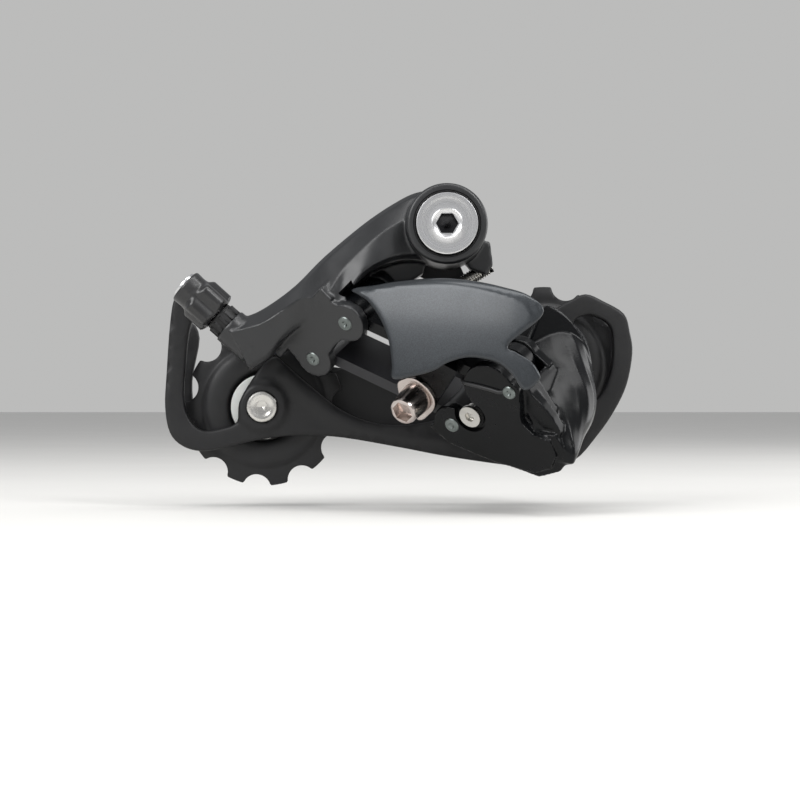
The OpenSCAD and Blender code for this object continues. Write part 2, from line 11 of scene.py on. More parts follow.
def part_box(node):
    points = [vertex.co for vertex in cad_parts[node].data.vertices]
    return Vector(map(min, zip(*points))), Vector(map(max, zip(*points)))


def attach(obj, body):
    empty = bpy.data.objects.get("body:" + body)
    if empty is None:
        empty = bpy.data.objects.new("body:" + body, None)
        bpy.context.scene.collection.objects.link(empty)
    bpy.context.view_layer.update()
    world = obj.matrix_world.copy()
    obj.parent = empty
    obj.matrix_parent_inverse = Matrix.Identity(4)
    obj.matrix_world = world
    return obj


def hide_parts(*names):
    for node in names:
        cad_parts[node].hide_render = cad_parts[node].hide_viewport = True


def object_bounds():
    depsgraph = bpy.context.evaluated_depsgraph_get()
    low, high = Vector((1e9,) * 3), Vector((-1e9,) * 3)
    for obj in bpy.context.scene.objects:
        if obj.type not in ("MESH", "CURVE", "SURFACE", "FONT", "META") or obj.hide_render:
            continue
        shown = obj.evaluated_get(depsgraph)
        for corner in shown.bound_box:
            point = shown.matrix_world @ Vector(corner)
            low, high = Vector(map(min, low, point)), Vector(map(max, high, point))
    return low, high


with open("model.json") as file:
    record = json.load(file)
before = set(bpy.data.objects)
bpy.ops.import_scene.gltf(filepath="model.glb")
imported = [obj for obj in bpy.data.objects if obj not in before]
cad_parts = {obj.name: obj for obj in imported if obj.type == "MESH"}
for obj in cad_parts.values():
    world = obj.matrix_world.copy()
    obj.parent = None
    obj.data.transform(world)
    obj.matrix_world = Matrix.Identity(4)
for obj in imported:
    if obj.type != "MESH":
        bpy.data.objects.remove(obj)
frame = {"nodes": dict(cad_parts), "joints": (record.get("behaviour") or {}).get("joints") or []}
cad_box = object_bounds()
MM = 0.001


# ---- Camera, floor and studio light ----
# A plain studio: a pale paper floor just below the part at rest, a large soft box on the front left, a
# smaller one on the front right, one behind on the right and a strip overhead. None of it is the part.
camera_data = bpy.data.cameras.new("camera")
camera_data.lens = 84
camera_data.sensor_width = 36
camera = bpy.data.objects.new("camera", camera_data)
camera.location = Vector((-12.06, -502, -45.15)) * MM
camera.rotation_euler = (math.radians(90), 0, 0)
bpy.context.scene.collection.objects.link(camera)
bpy.context.scene.camera = camera


def add_node(tree, kind, settings=None, links=None):
    """One node: settings fill its sockets or its properties, links feed its sockets."""
    node = tree.nodes.new(kind)
    for name, value in (settings or {}).items():
        if name in node.inputs and not hasattr(node, str(name)):
            node.inputs[name].default_value = value
        else:
            setattr(node, name, value)
    for name, source in (links or {}).items():
        tree.links.new(source, node.inputs[name])
    return node


def linear(code):
    """An sRGB hex colour as linear light."""
    parts = [int(code[i:i + 2], 16) / 255 for i in (1, 3, 5)]
    return [c / 12.92 if c <= 0.04045 else ((c + 0.055) / 1.055) ** 2.4 for c in parts] + [1.0]


def start_material(name, colour, **sockets):
    """A material with its shader's constant values set, ready for its pattern nodes."""
    material = bpy.data.materials.new(name)
    material.use_nodes = True
    tree = material.node_tree
    shader = tree.nodes["Principled BSDF"]
    shader.inputs["Base Color"].default_value = linear(colour)
    for socket, value in sockets.items():
        shader.inputs[socket.replace("_", " ")].default_value = value
    place = add_node(tree, "ShaderNodeTexCoord").outputs["Object"]
    return material, tree, shader, place


floor_gap = 6
floor_level = cad_box[0][2] - floor_gap * MM
floor_paper, tree, shader, place = start_material("floor_paper", "#d6d5d2", Roughness=0.85,
                                                  Emission_Strength=0.05)
shader.inputs["Emission Color"].default_value = linear("#f4f3f1")
mottle = add_node(tree, "ShaderNodeTexNoise", {"Scale": 14, "Detail": 4}, {"Vector": place})
tone = add_node(tree, "ShaderNodeValToRGB", links={"Fac": mottle.outputs["Fac"]})
tone.color_ramp.elements[0].color = linear("#d3d2cf")
tone.color_ramp.elements[1].color = linear("#dad9d6")
tree.links.new(tone.outputs["Color"], shader.inputs["Base Color"])
floor_mesh = bpy.data.meshes.new("floor")
reach = 4.0
floor_mesh.from_pydata([(-reach, -reach, floor_level), (reach, -reach, floor_level),
                        (reach, reach, floor_level), (-reach, reach, floor_level)], [], [(0, 1, 2, 3)])
floor = bpy.data.objects.new("floor", floor_mesh)
floor.data.materials.append(floor_paper)
bpy.context.scene.collection.objects.link(floor)

world = bpy.data.worlds.new("studio")
world.use_nodes = True
sky = world.node_tree
sky.nodes["Background"].inputs["Color"].default_value = linear("#f3f3f2")
sky.nodes["Background"].inputs["Strength"].default_value = 0.56
dim = add_node(sky, "ShaderNodeBackground", {"Strength": 0.5})
dim.inputs["Color"].default_value = linear("#f3f4f6")
seen = add_node(sky, "ShaderNodeLightPath")
both = add_node(sky, "ShaderNodeMixShader")
sky.links.new(seen.outputs["Is Camera Ray"], both.inputs[0])
sky.links.new(dim.outputs[0], both.inputs[1])
sky.links.new(sky.nodes["Background"].outputs[0], both.inputs[2])
sky.links.new(both.outputs[0], sky.nodes["World Output"].inputs["Surface"])
bpy.context.scene.world = world
bpy.context.scene.view_settings.view_transform = "Standard"

middle = (cad_box[0] + cad_box[1]) / 2
for name, spot, size, power in (
        ("soft_box_left", (-0.50, -0.50, 0.42), (0.5, 0.4), 4.2),
        ("soft_box_right", (0.40, -0.46, 0.46), (0.22, 0.3), 2.6),
        ("soft_box_side", (0.62, 0.24, 0.06), (0.5, 0.6), 2.6),
        ("strip_above", (0.05, -0.16, 0.60), (0.7, 0.16), 2.2)):
    light = bpy.data.lights.new(name, "AREA")
    light.shape = "RECTANGLE"
    light.size, light.size_y = size
    light.energy = power
    lamp = bpy.data.objects.new(name, light)
    lamp.location = middle + Vector(spot)
    lamp.rotation_euler = (middle - lamp.location).to_track_quat("-Z", "Y").to_euler()
    bpy.context.scene.collection.objects.link(lamp)


# ---- Hanger bolt ----
# The axle that the whole derailleur hangs from: an aluminium bolt, turned on a lathe, with a dished
# head, a 5 mm hex socket and a fine thread that screws into the frame's hanger.
Y_AXIS = Vector((0, 1, 0))
joint = {j["name"]: j for j in frame["joints"]}


def at_joint(name):
    """Where a joint's axis is, in millimetres."""
    return Vector(joint[name]["pos_m"]) / MM


def axes_along(direction):
    """A rotation that takes +Z to the given direction."""
    return Vector((0, 0, 1)).rotation_difference(Vector(direction)).to_matrix()


def turned(profile, at, direction=Y_AXIS, steps=72, ring=False, shape=None, turn=0.0):
    """A turned piece: profile is (distance along the axis, radius) from one end to the other. ring
    closes it round a hole. shape(angle, along, radius) may change the radius, for lobes and teeth."""
    at, basis = Vector(at), axes_along(direction)
    points, faces = [], []
    for along, radius in profile:
        for k in range(steps):
            angle = 2 * math.pi * k / steps + turn
            r = shape(angle - turn, along, radius) if shape else radius
            points.append((at + basis @ Vector((r * math.cos(angle), r * math.sin(angle), along))) * MM)
    rows = len(profile)
    for j in range(rows if ring else rows - 1):
        below, above = j * steps, (j + 1) % rows * steps
        for k in range(steps):
            n = (k + 1) % steps
            faces.append((below + k, below + n, above + n, above + k))
    if not ring:
        faces.append(tuple(range(steps))[::-1])
        faces.append(tuple(range((rows - 1) * steps, rows * steps)))
    return points, faces


def shade(piece, sharp):
    """Smooth shading up to an angle, in degrees."""
    piece.data.polygons.foreach_set("use_smooth", [True] * len(piece.data.polygons))
    piece.data.set_sharp_from_angle(angle=math.radians(sharp))


def new_piece(name, parts, material, sharp=35):
    """An object from one or more (points, faces) parts."""
    mesh = bpy.data.meshes.new(name)
    bm = bmesh.new()
    for points, faces in parts:
        corners = [bm.verts.new(p) for p in points]
        for face in faces:
            bm.faces.new([corners[i] for i in face])
    bmesh.ops.recalc_face_normals(bm, faces=bm.faces)
    bm.to_mesh(mesh)
    bm.free()
    mesh.materials.append(material)
    piece = bpy.data.objects.new(name, mesh)
    bpy.context.scene.collection.objects.link(piece)
    shade(piece, sharp)
    return piece


def applied(piece, sharp=35):
    """Turns a piece's modifiers into its mesh."""
    bpy.context.view_layer.update()
    made = bpy.data.meshes.new_from_object(piece.evaluated_get(bpy.context.evaluated_depsgraph_get()))
    piece.modifiers.clear()
    piece.data = made
    shade(piece, sharp)
    return piece


def carve(piece, cutters, sharp=35):
    """Cuts (points, faces) parts out of a piece. The cutters are merged first."""
    tools = [new_piece("tool", [cutter], piece.data.materials[0]) for cutter in cutters]
    for target, tool, work in [(tools[0], t, "UNION") for t in tools[1:]] + [(piece, tools[0], "DIFFERENCE")]:
        cut = target.modifiers.new("cut", "BOOLEAN")
        cut.operation = work
        cut.solver = "EXACT"
        cut.object = tool
        applied(target, sharp)
    for tool in tools:
        bpy.data.objects.remove(tool)


def hex_hole(at, direction, across, depth, mouth=1.0):
    """A hexagonal socket with a drilled point at its bottom. direction points out of the mouth."""
    radius = across / math.sqrt(3)
    profile = [(mouth, radius), (-depth, radius), (-depth - 0.01, radius * 0.8),
               (-depth - radius * 0.42, 0.05)]
    return turned(profile[::-1], at, direction, 6)


def threaded(start, end, radius, pitch, depth):
    """The profile of a thread, as the rings that show."""
    rings, along = [(start, radius - depth)], start + pitch * 0.2
    while along < end - pitch:
        rings += [(along + pitch * 0.25, radius), (along + pitch * 0.45, radius),
                  (along + pitch * 0.8, radius - depth)]
        along += pitch
    return rings


def stand_in(name, parts, material, body, slot, *nodes, cutters=(), sharp=35):
    """A finished piece in place of CAD nodes, riding on a body."""
    piece = new_piece(name, parts, material, sharp)
    if cutters:
        carve(piece, cutters, sharp)
    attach(piece, body)
    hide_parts(*nodes)


# Turned aluminium: bright, with fine rings left by the tool and a soft satin from the anodising.
turned_aluminium, tree, shader, place = start_material(
    "turned_aluminium", "#d3d3d4", Metallic=1.0, Roughness=0.28)
apart = add_node(tree, "ShaderNodeSeparateXYZ", links={"Vector": place})
flat = add_node(tree, "ShaderNodeCombineXYZ", links={"X": apart.outputs["X"], "Y": apart.outputs["Z"]})
radius = add_node(tree, "ShaderNodeVectorMath", {"operation": "LENGTH"}, {0: flat.outputs[0]})
rings = add_node(tree, "ShaderNodeTexNoise", {"noise_dimensions": "1D", "Scale": 4200, "Detail": 3},
                 {"W": radius.outputs["Value"]})
tool_marks = add_node(tree, "ShaderNodeBump", {"Strength": 0.35, "Distance": 0.00002},
                      {"Height": rings.outputs["Fac"]})
tree.links.new(tool_marks.outputs[0], shader.inputs["Normal"])
haze = add_node(tree, "ShaderNodeMapRange", {"To Min": 0.2, "To Max": 0.36}, {"Value": rings.outputs["Fac"]})
tree.links.new(haze.outputs[0], shader.inputs["Roughness"])

low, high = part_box("hanger_bolt")
head_front, thread_end, head_r = low.y / MM, high.y / MM, (high.x - low.x) / 2 / MM
# Painted shade in the hex socket: the base colour is darkened to a dark grey where a point is both near
# the axis and deeper than the head's face, standing in for the shade inside the recess.
socket_shade_r, socket_shade_from, socket_shade_to = 3.0, 0.5, 0.9
beside = add_node(tree, "ShaderNodeMapRange", {"From Min": socket_shade_r * MM, "From Max": (socket_shade_r + 0.1) * MM},
                  {"Value": radius.outputs["Value"]})
shallow = add_node(
    tree, "ShaderNodeMapRange", {"From Min": low.y + socket_shade_from * MM, "From Max": low.y + socket_shade_to * MM,
                                 "To Min": 1, "To Max": 0}, {"Value": apart.outputs["Y"]})
unshaded = add_node(tree, "ShaderNodeMath", {"operation": "MAXIMUM"},
                 {0: beside.outputs[0], 1: shallow.outputs[0]})
# The ramp's dark end is the painted shade in the socket; its light end is the bolt's own colour.
socket_shade_ramp = add_node(tree, "ShaderNodeValToRGB", links={"Fac": unshaded.outputs[0]})
socket_shade_ramp.color_ramp.elements[0].color = linear("#3a3a3c")
socket_shade_ramp.color_ramp.elements[1].color = linear("#d3d3d4")
tree.links.new(socket_shade_ramp.outputs["Color"], shader.inputs["Base Color"])
shank_r, thread_r = 5.5, 5.0
profile = [(head_front + 0.5, 3.2), (head_front + 0.1, 3.8), (head_front + 0.25, 4.2),
           (head_front + 0.2, 6.6), (head_front, 7.5), (head_front + 0.1, head_r - 0.12),
           (head_front + 0.35, head_r), (head_front + 1.9, head_r), (head_front + 2.2, head_r - 0.3),
           (head_front + 2.21, shank_r), (-0.1, shank_r)]
profile += threaded(0, thread_end - 0.8, thread_r, pitch=1.0, depth=0.5) + [(thread_end, thread_r - 0.9)]
stand_in("hanger_bolt_turned", [turned(profile, (0, 0, 0))], turned_aluminium, "hanger_axle",
         "machined_aluminium", "hanger_bolt",
         cutters=[hex_hole((0, head_front, 0), -Y_AXIS, across=5.0, depth=6.0, mouth=2.0)])


# ---- Stopper plate and circlip ----
# The steel plate between the knuckle and the hanger, stamped and plated black, with the bent tab that
# the tension screw pushes on, and the spring-steel circlip that keeps the bolt in the knuckle.
def keep(node, material, edge):
    """A CAD node that stays as it is, with its edges broken and a real finish."""
    piece = frame["nodes"][node]
    for slot in piece.material_slots:
        slot.material = material
    weld = piece.modifiers.new("weld", "WELD")
    weld.merge_threshold = 0.00001
    bevel = piece.modifiers.new("edges", "BEVEL")
    bevel.width, bevel.segments, bevel.limit_method = edge * MM, 2, "ANGLE"
    bevel.angle_limit = math.radians(40)
    piece.modifiers.new("normals", "WEIGHTED_NORMAL").keep_sharp = True


def rough_skin(tree, shader, place, grain, height, rough_low, rough_high):
    """A fine uneven skin: grain is its size in millimetres and height its depth in micrometres."""
    skin = add_node(tree, "ShaderNodeTexNoise", {"Scale": 1000 / grain, "Detail": 4}, {"Vector": place})
    patch_grains = 14  # the haze drifts over patches of this many grains
    bump = add_node(tree, "ShaderNodeBump", {"Strength": 0.6, "Distance": height * 1e-6},
                    {"Height": skin.outputs["Fac"]})
    tree.links.new(bump.outputs[0], shader.inputs["Normal"])
    patches = add_node(tree, "ShaderNodeTexNoise", {"Scale": 1000 / (grain * patch_grains), "Detail": 3},
                       {"Vector": place})
    haze = add_node(tree, "ShaderNodeMapRange", {"From Min": 0.3, "From Max": 0.7, "To Min": rough_low,
                                                 "To Max": rough_high},
                    {"Value": patches.outputs["Fac"]})
    tree.links.new(haze.outputs[0], shader.inputs["Roughness"])
    return patches


def mottled(tree, shader, patches, dark, pale):
    """Colour that drifts between two near shades with the patches of a skin."""
    tone = add_node(tree, "ShaderNodeValToRGB", links={"Fac": patches.outputs["Fac"]})
    tone.color_ramp.elements[0].position, tone.color_ramp.elements[1].position = 0.3, 0.7
    tone.color_ramp.elements[0].color, tone.color_ramp.elements[1].color = linear(dark), linear(pale)
    tree.links.new(tone.outputs["Color"], shader.inputs["Base Color"])


# Black-plated steel: dull, slightly grey, with a grain of about 0.3 mm.
black_steel, tree, shader, place = start_material("black_plated_steel", "#2a2a2b", Metallic=0.3,
                                                  Roughness=0.45)
mottled(tree, shader, rough_skin(tree, shader, place, 0.3, 8, 0.4, 0.55), "#262627", "#303031")
# Drawn spring steel: grey, with faint streaks.
spring_steel, tree, shader, place = start_material("drawn_spring_steel", "#8b8c8f", Metallic=1.0,
                                                   Roughness=0.32)
mottled(tree, shader, rough_skin(tree, shader, place, 0.25, 6, 0.26, 0.42), "#7f8083", "#96979a")
keep("stopper_plate", black_steel, 0.25)
keep("b_circlip", spring_steel, 0.15)


# ---- B-body ----
# The body that turns on the hanger bolt: cast aluminium under satin black paint, with the knuckle, the
# arm that falls to the adjuster's boss and the ears that hold the link pins. The mould leaves every
# edge round; the bores and the pocket for the links are machined after.
ORIGIN = at_joint("inner_link_swing")
PIN_AXIS = -Vector(joint["link_swing"]["axis"]).normalized()
ALONG = Vector((1, 0, -1)).normalized()
ACROSS = PIN_AXIS.cross(ALONG)
pin_gap = (at_joint("link_swing") - ORIGIN).dot(ACROSS)
link_span = at_joint("p_body_swing") - at_joint("link_swing")
p_in = (link_span.dot(ALONG), link_span.dot(ACROSS))
p_out = (p_in[0], p_in[1] + pin_gap)
b_in, b_out = (0, 0), (0, pin_gap)
pin_middle = -10.0
front_ear, back_ear = (-3.2, -0.2), (-19.8, -16.8)


def in_links(u, v, w):
    """A point of the links' own frame: u and v across the pins, w along them, from the ears' front."""
    return ORIGIN + ALONG * u + ACROSS * v + PIN_AXIS * (w - pin_middle)


def in_side(u, v, w):
    """A point of the side view: u forward, v up, w inboard."""
    return Vector((u, w, v))


def slab(outline, low, high, at=in_side):
    """A plate with an outline, from low to high across it."""
    n = len(outline)
    points = [at(u, v, w) * MM for w in (low, high) for u, v in outline]
    return points, [tuple(range(n))[::-1], tuple(range(n, 2 * n))] + [
        (i, (i + 1) % n, n + (i + 1) % n, n + i) for i in range(n)]


def circle(centre, radius, steps=48):
    """An outline of points round a circle."""
    return [(centre[0] + radius * math.cos(2 * math.pi * k / steps),
             centre[1] + radius * math.sin(2 * math.pi * k / steps))
            for k in range(steps)]


def flow(points, steps=6, closed=False):
    """Points along a smooth curve through the given ones."""
    p, out = [np.array(q, float) for q in points], []
    n = len(p)
    for i in range(n if closed else n - 1):
        a, b, c, d = (p[(i + k) % n] if closed else p[min(max(i + k, 0), n - 1)] for k in (-1, 0, 1, 2))
        for s in range(steps):
            t = s / steps
            out.append(0.5 * (2 * b + (c - a) * t + (2 * a - 5 * b + 4 * c - d) * t * t
                              + (3 * b - a - 3 * c + d) * t ** 3))
    return out if closed else out + [p[-1]]


def loft(rings):
    """A skin over rings with the same number of points, closed at both ends."""
    n, rows = len(rings[0]), len(rings)
    points = [Vector(p) * MM for ring in rings for p in ring]
    faces = [(j * n + k, j * n + (k + 1) % n, (j + 1) * n + (k + 1) % n, (j + 1) * n + k)
             for j in range(rows - 1) for k in range(n)]
    return points, faces + [tuple(range(n))[::-1], tuple(range((rows - 1) * n, rows * n))]


def cast(name, parts, material, grain=0.35, soften=5):
    """One casting: its parts melt into each other, then every edge is rounded as a mould's are."""
    piece = new_piece(name, parts, material)
    melt = piece.modifiers.new("melt", "REMESH")
    melt.mode, melt.voxel_size = "VOXEL", grain * MM
    soft = piece.modifiers.new("soften", "SMOOTH")
    soft.factor, soft.iterations = 0.5, soften
    return applied(piece, 180)


def rod(at, radius, start, end, direction=Y_AXIS):
    """A plain round bar, for a casting's part or a cutter."""
    return turned([(start, radius), (end, radius)], at, direction, 64)


# Satin black paint on cast aluminium: a soft wide sheen, with the paint's faint orange peel of 0.4 mm.
satin_black_paint, tree, shader, place = start_material(
    "satin_black_paint", "#141517", Roughness=0.38, Specular_IOR_Level=0.6)
mottled(tree, shader, rough_skin(tree, shader, place, 0.4, 7, 0.34, 0.44), "#121315", "#18191b")

# Stations along the arm: upper edge, crease and lower edge (x, z), their three fronts and the back (y)
arm = [[(-1, 10.2), (-1, 2), (-1, -10), -15, -17, -17, -3],
       [(-8, 9.2), (-8.6, 2), (-9, -8.6), -14.5, -18, -18, -2.5],
       [(-14, 6.2), (-14.5, -0.5), (-15.5, -9.8), -14.5, -19, -20, -2.6],
       [(-20.5, 1.8), (-20, -4.5), (-21.5, -13.2), -15, -19.5, -21, -4],
       [(-27, -3.4), (-26.5, -11), (-25.7, -19.6), -15, -19.2, -21.2, -5.5],
       [(-33, -8.6), (-31.4, -18.6), (-28.5, -24), -14.5, -21.0, -19.5, -6.8],
       [(-39, -14.4), (-37.4, -18.7), (-37.1, -25.3), -12, -17.4, -14.2, -6.8],
       [(-44.5, -18.6), (-43, -21.8), (-42.8, -29.2), -10.5, -13.8, -12.5, -5.5],
       [(-50, -21.9), (-48.7, -25.2), (-46.5, -34), -9.5, -13, -11.5, -3],
       [(-55.0, -23.6), (-56.6, -27.2), (-51.8, -37.2), -9, -12.4, -11, -1.4]]
rings = []
for upper, crease, lower, y_upper, y_crease, y_lower, y_back in arm:
    u, c, l = (np.array(q, float) for q in (upper, crease, lower))
    top_in = u + (c - u) / np.linalg.norm(c - u) * 1.3
    low_in = l + (c - l) / np.linalg.norm(c - l) * 1.2
    rings.append([(u[0], y_back, u[1]), (u[0], y_upper + 2.0, u[1]), (top_in[0], y_upper, top_in[1]),
                  (c[0], y_crease, c[1]), (low_in[0], y_lower, low_in[1]), (l[0], y_lower + 1.6, l[1]),
                  (l[0], y_back, l[1])])
knuckle = turned([(-24.95, 9.0), (-24.9, 9.9), (-24.4, 10.4), (-23.6, 10.5), (-2.4, 10.5), (-1.9, 10.1)],
                 (0, 0, 0))
hook = [(-31, -15), (-26.3, -16.6), (-21.3, -21), (-22.3, -25.6), (-26.2, -22.2), (-31, -22)]
screw_tab = [(5, -8.6), (9.6, -3), (11.8, -3.2), (12.6, -9.4), (10.8, -12.2), (6.6, -10.6)]
rear_web = [(-24, -12), (-16, -14.6), (-9, -13.8), (-5.8, -11.6), (-5, -7), (-14, -7)]
spine = (-11.0, -6.8)
adjuster_at, adjuster_axis = at_joint("adjuster_turn"), Vector(joint["adjuster_turn"]["axis"])
tension_screw_at, tension_screw_r = Vector((5.4, -5, -13.6)), 2.0
tension_screw_axis = Vector(joint["b_tension_screw_travel"]["axis"])
ear_r = 5.4
ear_parts = []
for low, high in (front_ear, back_ear):
    ear_parts += [slab([(-12.6, -3), (-2, -4.9), (2.4, 3.4), (1.8, 8.9), (2.4, 14), (1, 22.6), (-2, 21.6),
                        (-8, 18.6), (-12, 13), (-13.4, 4.8)], low, high, in_links),
                  slab(circle(b_in, ear_r), low, high, in_links),
                  slab(circle(b_out, ear_r), low, high, in_links)]
b_body = cast("b_body_cast", [
    loft(flow(rings, 6)), knuckle, slab(hook, -19, -12), slab(screw_tab, -8, -2.3), slab(rear_web, -9, -2.5),
    slab([(spine[0], -9), (spine[1], -9), (spine[1], 20), (spine[0], 20)], back_ear[0], front_ear[1],
         in_links),
    rod(adjuster_at, 4.9, -9, 0.1, adjuster_axis)] + ear_parts, satin_black_paint)
limit_screws = {"h_limit_screw": -5.7, "l_limit_screw": 7.3}
limit_screw_depth, limit_screw_tip, limit_screw_r = -13.5, -4.6, 1.5
clearance, head_room_r, spring_room_r, adjuster_bore_r = 0.05, 8.7, 8.3, 2.55
cutters = [rod((0, 0, 0), head_room_r, -27, -22.2), rod((0, 0, 0), shank_r + clearance, -23, -18),
           rod((0, 0, 0), spring_room_r, -19.2, 0),
           slab([(spine[1], -40), (spine[1], 24.3), (0, 24.6), (60, 54.7), (60, -40)], back_ear[1],
                front_ear[0], in_links),
           rod(adjuster_at, adjuster_bore_r, -9.5, 3, adjuster_axis),
           rod(tension_screw_at, tension_screw_r + clearance, -3, 12, tension_screw_axis)]
for v in limit_screws.values():
    screw_tip_at = in_links(limit_screw_tip, v, limit_screw_depth)
    cutters += [rod(screw_tip_at, limit_screw_r + clearance, -1, 14, -ALONG),
                rod(screw_tip_at, 2 * limit_screw_r + 0.2, 9.6, 18, -ALONG)]
carve(b_body, cutters)
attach(b_body, "b_body")
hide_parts("b_body")


# ---- Knuckle's seal and spring ----
# A moulded nylon ring keeps dirt out of the knuckle round the bolt's head. The B-spring is wound from
# spring steel wire and lies hidden round the bolt.
def tube(path, radius):
    """A round wire along a path of points in millimetres."""
    path = [Vector(p) for p in path]
    n, rings, side, steps = len(path), [], None, 12
    for i, p in enumerate(path):
        ahead = path[min(i + 1, n - 1)] - path[max(i - 1, 0)]
        ahead.normalize()
        if side is None:
            side = ahead.orthogonal().normalized()
        side = (side - ahead * side.dot(ahead)).normalized()
        up = ahead.cross(side)
        rings.append([p + (side * math.cos(2 * math.pi * k / steps)
                           + up * math.sin(2 * math.pi * k / steps)) * radius
                      for k in range(steps)])
    return loft(rings)


def coil(at, direction, mean_r, start, end, turns):
    """The path of a coil spring's wire, with flat ends like wound ones."""
    basis, at, points, per_turn = axes_along(direction), Vector(at), [], 40
    for i in range(int(turns * per_turn) + 1):
        t = i / (turns * per_turn)
        rise = min(max((t * turns - 0.4) / (turns - 0.8), 0), 1)
        angle = 2 * math.pi * i / per_turn
        points.append(at + basis @ Vector((mean_r * math.cos(angle), mean_r * math.sin(angle),
                                           start + (end - start) * rise)))
    return points


# Moulded black nylon: dull, with the fine grain of a spark-eroded mould.
black_nylon, tree, shader, place = start_material("black_nylon", "#101011", Roughness=0.5,
                                                  Specular_IOR_Level=0.4)
mottled(tree, shader, rough_skin(tree, shader, place, 0.25, 8, 0.44, 0.58), "#0f0f10", "#141415")
ring = [(-24.55, 8.2), (-24.7, 8.4), (-24.7, 8.55), (-24.5, 8.69), (-22.25, 8.69), (-22.25, 8.16),
        (-24.3, 8.16)]
stand_in("b_seal_ring_moulded", [turned(ring, (0, 0, 0), ring=True)], black_nylon, "b_body", "black_nylon",
         "b_seal_ring")
wire_r = 0.9
b_coil = coil((0, 0, 0), Y_AXIS, mean_r=7.1, start=-16.6, end=-3.1, turns=7.4)
stand_in("b_spring_coil", [tube(b_coil, wire_r)], spring_steel, "b_body", "spring_steel", "b_spring")


# ---- Link pins ----
# Steel pins, zinc plated, pressed into the ears, with a dimple turned in the end that shows. The spring's
# anchor on the P-body is made the same way.
# Zinc plate passivated pale: a soft grey metal with a faint green cast and fine scratches from tumbling.
zinc_plate, tree, shader, place = start_material("zinc_plated_steel", "#747a78", Metallic=1.0, Roughness=0.36)
mottled(tree, shader, rough_skin(tree, shader, place, 0.2, 9, 0.28, 0.46), "#656b69", "#818785")
pin_r = 2.0


def pin(at, end, radius=pin_r, start=back_ear[0] - 0.2):
    """A pin's profile along the links' axis, with a broken edge and a dimple in its end."""
    tip = [(end - 0.35, radius), (end - 0.1, radius - 0.2), (end, radius - 0.6), (end, radius * 0.42),
           (end - 0.35, radius * 0.2)]
    return turned([(start, radius - 0.3), (start + 0.3, radius)] + tip, in_links(*at, 0), PIN_AXIS, 40)


for name, at, end, body in (("b_pin_inner", b_in, 0.2, "b_body"), ("b_pin_outer", b_out, 0.2, "b_body"),
                            ("p_pin_inner", p_in, 0.2, "p_body"), ("p_pin_outer", p_out, -1.6, "p_body")):
    stand_in(name + "_turned", [pin(at, end)], zinc_plate, body, "zinc_steel", name)


# ---- Barrel adjuster ----
# The cable's adjuster: a moulded collar of clicking teeth, a ribbed plastic knob and a hollow aluminium
# bolt that screws into the body's boss and takes the cable housing in its bright socket.
tooth_count, tooth_height = 12, 0.45
lobe_count, lobe_height, knob_bore_r = 5, 1.45, 4.4
lobes_from, lobes_to = 4.1, 12.2


def click_teeth(angle, along, radius):
    """The collar's radius: twelve square teeth along its toothed stretch."""
    on_teeth = 0.2 < along < 3.1 and radius > 3.9
    return radius + tooth_height * (math.cos(tooth_count * angle) > 0.1) if on_teeth else radius


def knob_lobes(angle, along, radius):
    """The knob's radius: round lobes for the fingers, which fade out towards both ends."""
    if radius < knob_bore_r:
        return radius
    wave = (0.5 + 0.5 * math.cos(lobe_count * angle)) ** 0.8
    swell = min(max((lobes_to - along) / 1.6, 0), 1) * min(max((along - lobes_from) / 0.9, 0), 1)
    return radius + lobe_height * swell * (3 - 2 * swell) * swell * wave


# Glossy black moulded plastic: a tight soft shine, with faint handling marks.
knob_plastic, tree, shader, place = start_material("moulded_black_plastic", "#161617", Roughness=0.3,
                                                   Coat_Weight=0.15)
mottled(tree, shader, rough_skin(tree, shader, place, 0.5, 5, 0.26, 0.4), "#141415", "#1b1b1c")
collar = [(0.05, 3.0), (0.05, 3.98), (0.21, 4), (3.0, 4), (3.2, 3.95), (3.8, 3.95), (4.0, 3.75), (4.0, 3.0)]
collar_turned = turned(collar, adjuster_at, adjuster_axis, steps=144, ring=True, shape=click_teeth)
stand_in("adjuster_collar_moulded", [collar_turned], black_nylon, "b_body", "black_nylon", "adjuster_collar",
         sharp=50)
knob_turn = math.radians(18)
knob = [(4.25, 4.1), (4.2, 4.45), (4.35, 4.75)] + [(4.6 + 0.4 * k, 4.8) for k in range(20)] + [
    (12.6, 4.75), (13.2, 4.7), (15.2, 4.8), (15.6, 4.72), (15.8, 4.5), (15.75, 4.1)]
knob_turned = turned(knob, adjuster_at, adjuster_axis, steps=150, ring=True, shape=knob_lobes, turn=knob_turn)
stand_in("adjuster_knob_moulded", [knob_turned], knob_plastic, "adjuster_knob", "knob_plastic",
         "adjuster_knob", sharp=50)
bolt = threaded(-8.8, 5.1, 2.5, pitch=0.8, depth=0.35) + [
    (5.1, 2.3), (5.2, 3.75), (16.1, 3.8), (16.5, 3.65), (16.6, 3.35), (16.45, 2.7), (9.6, 2.6), (9.59, 1.0),
    (-8.8, 1.0)]
stand_in("adjuster_bolt_turned", [turned(bolt, adjuster_at, adjuster_axis, steps=64, ring=True)],
         turned_aluminium, "adjuster_bolt", "machined_aluminium", "adjuster_bolt")


# ---- Adjusting screws ----
# Small nickel-plated steel screws: one sets the knuckle's angle against the stopper plate, and two in
# the spine limit how far the linkage swings each way. Their cross recesses are struck cold.
# Bright nickel plate: near mirror, slightly warm, softened by fine marks.
nickel_plate, tree, shader, place = start_material("nickel_plated_screw", "#c9c7c2", Metallic=1.0,
                                                   Roughness=0.2)
mottled(tree, shader, rough_skin(tree, shader, place, 0.3, 6, 0.15, 0.3), "#bdbbb6", "#d2d0cc")


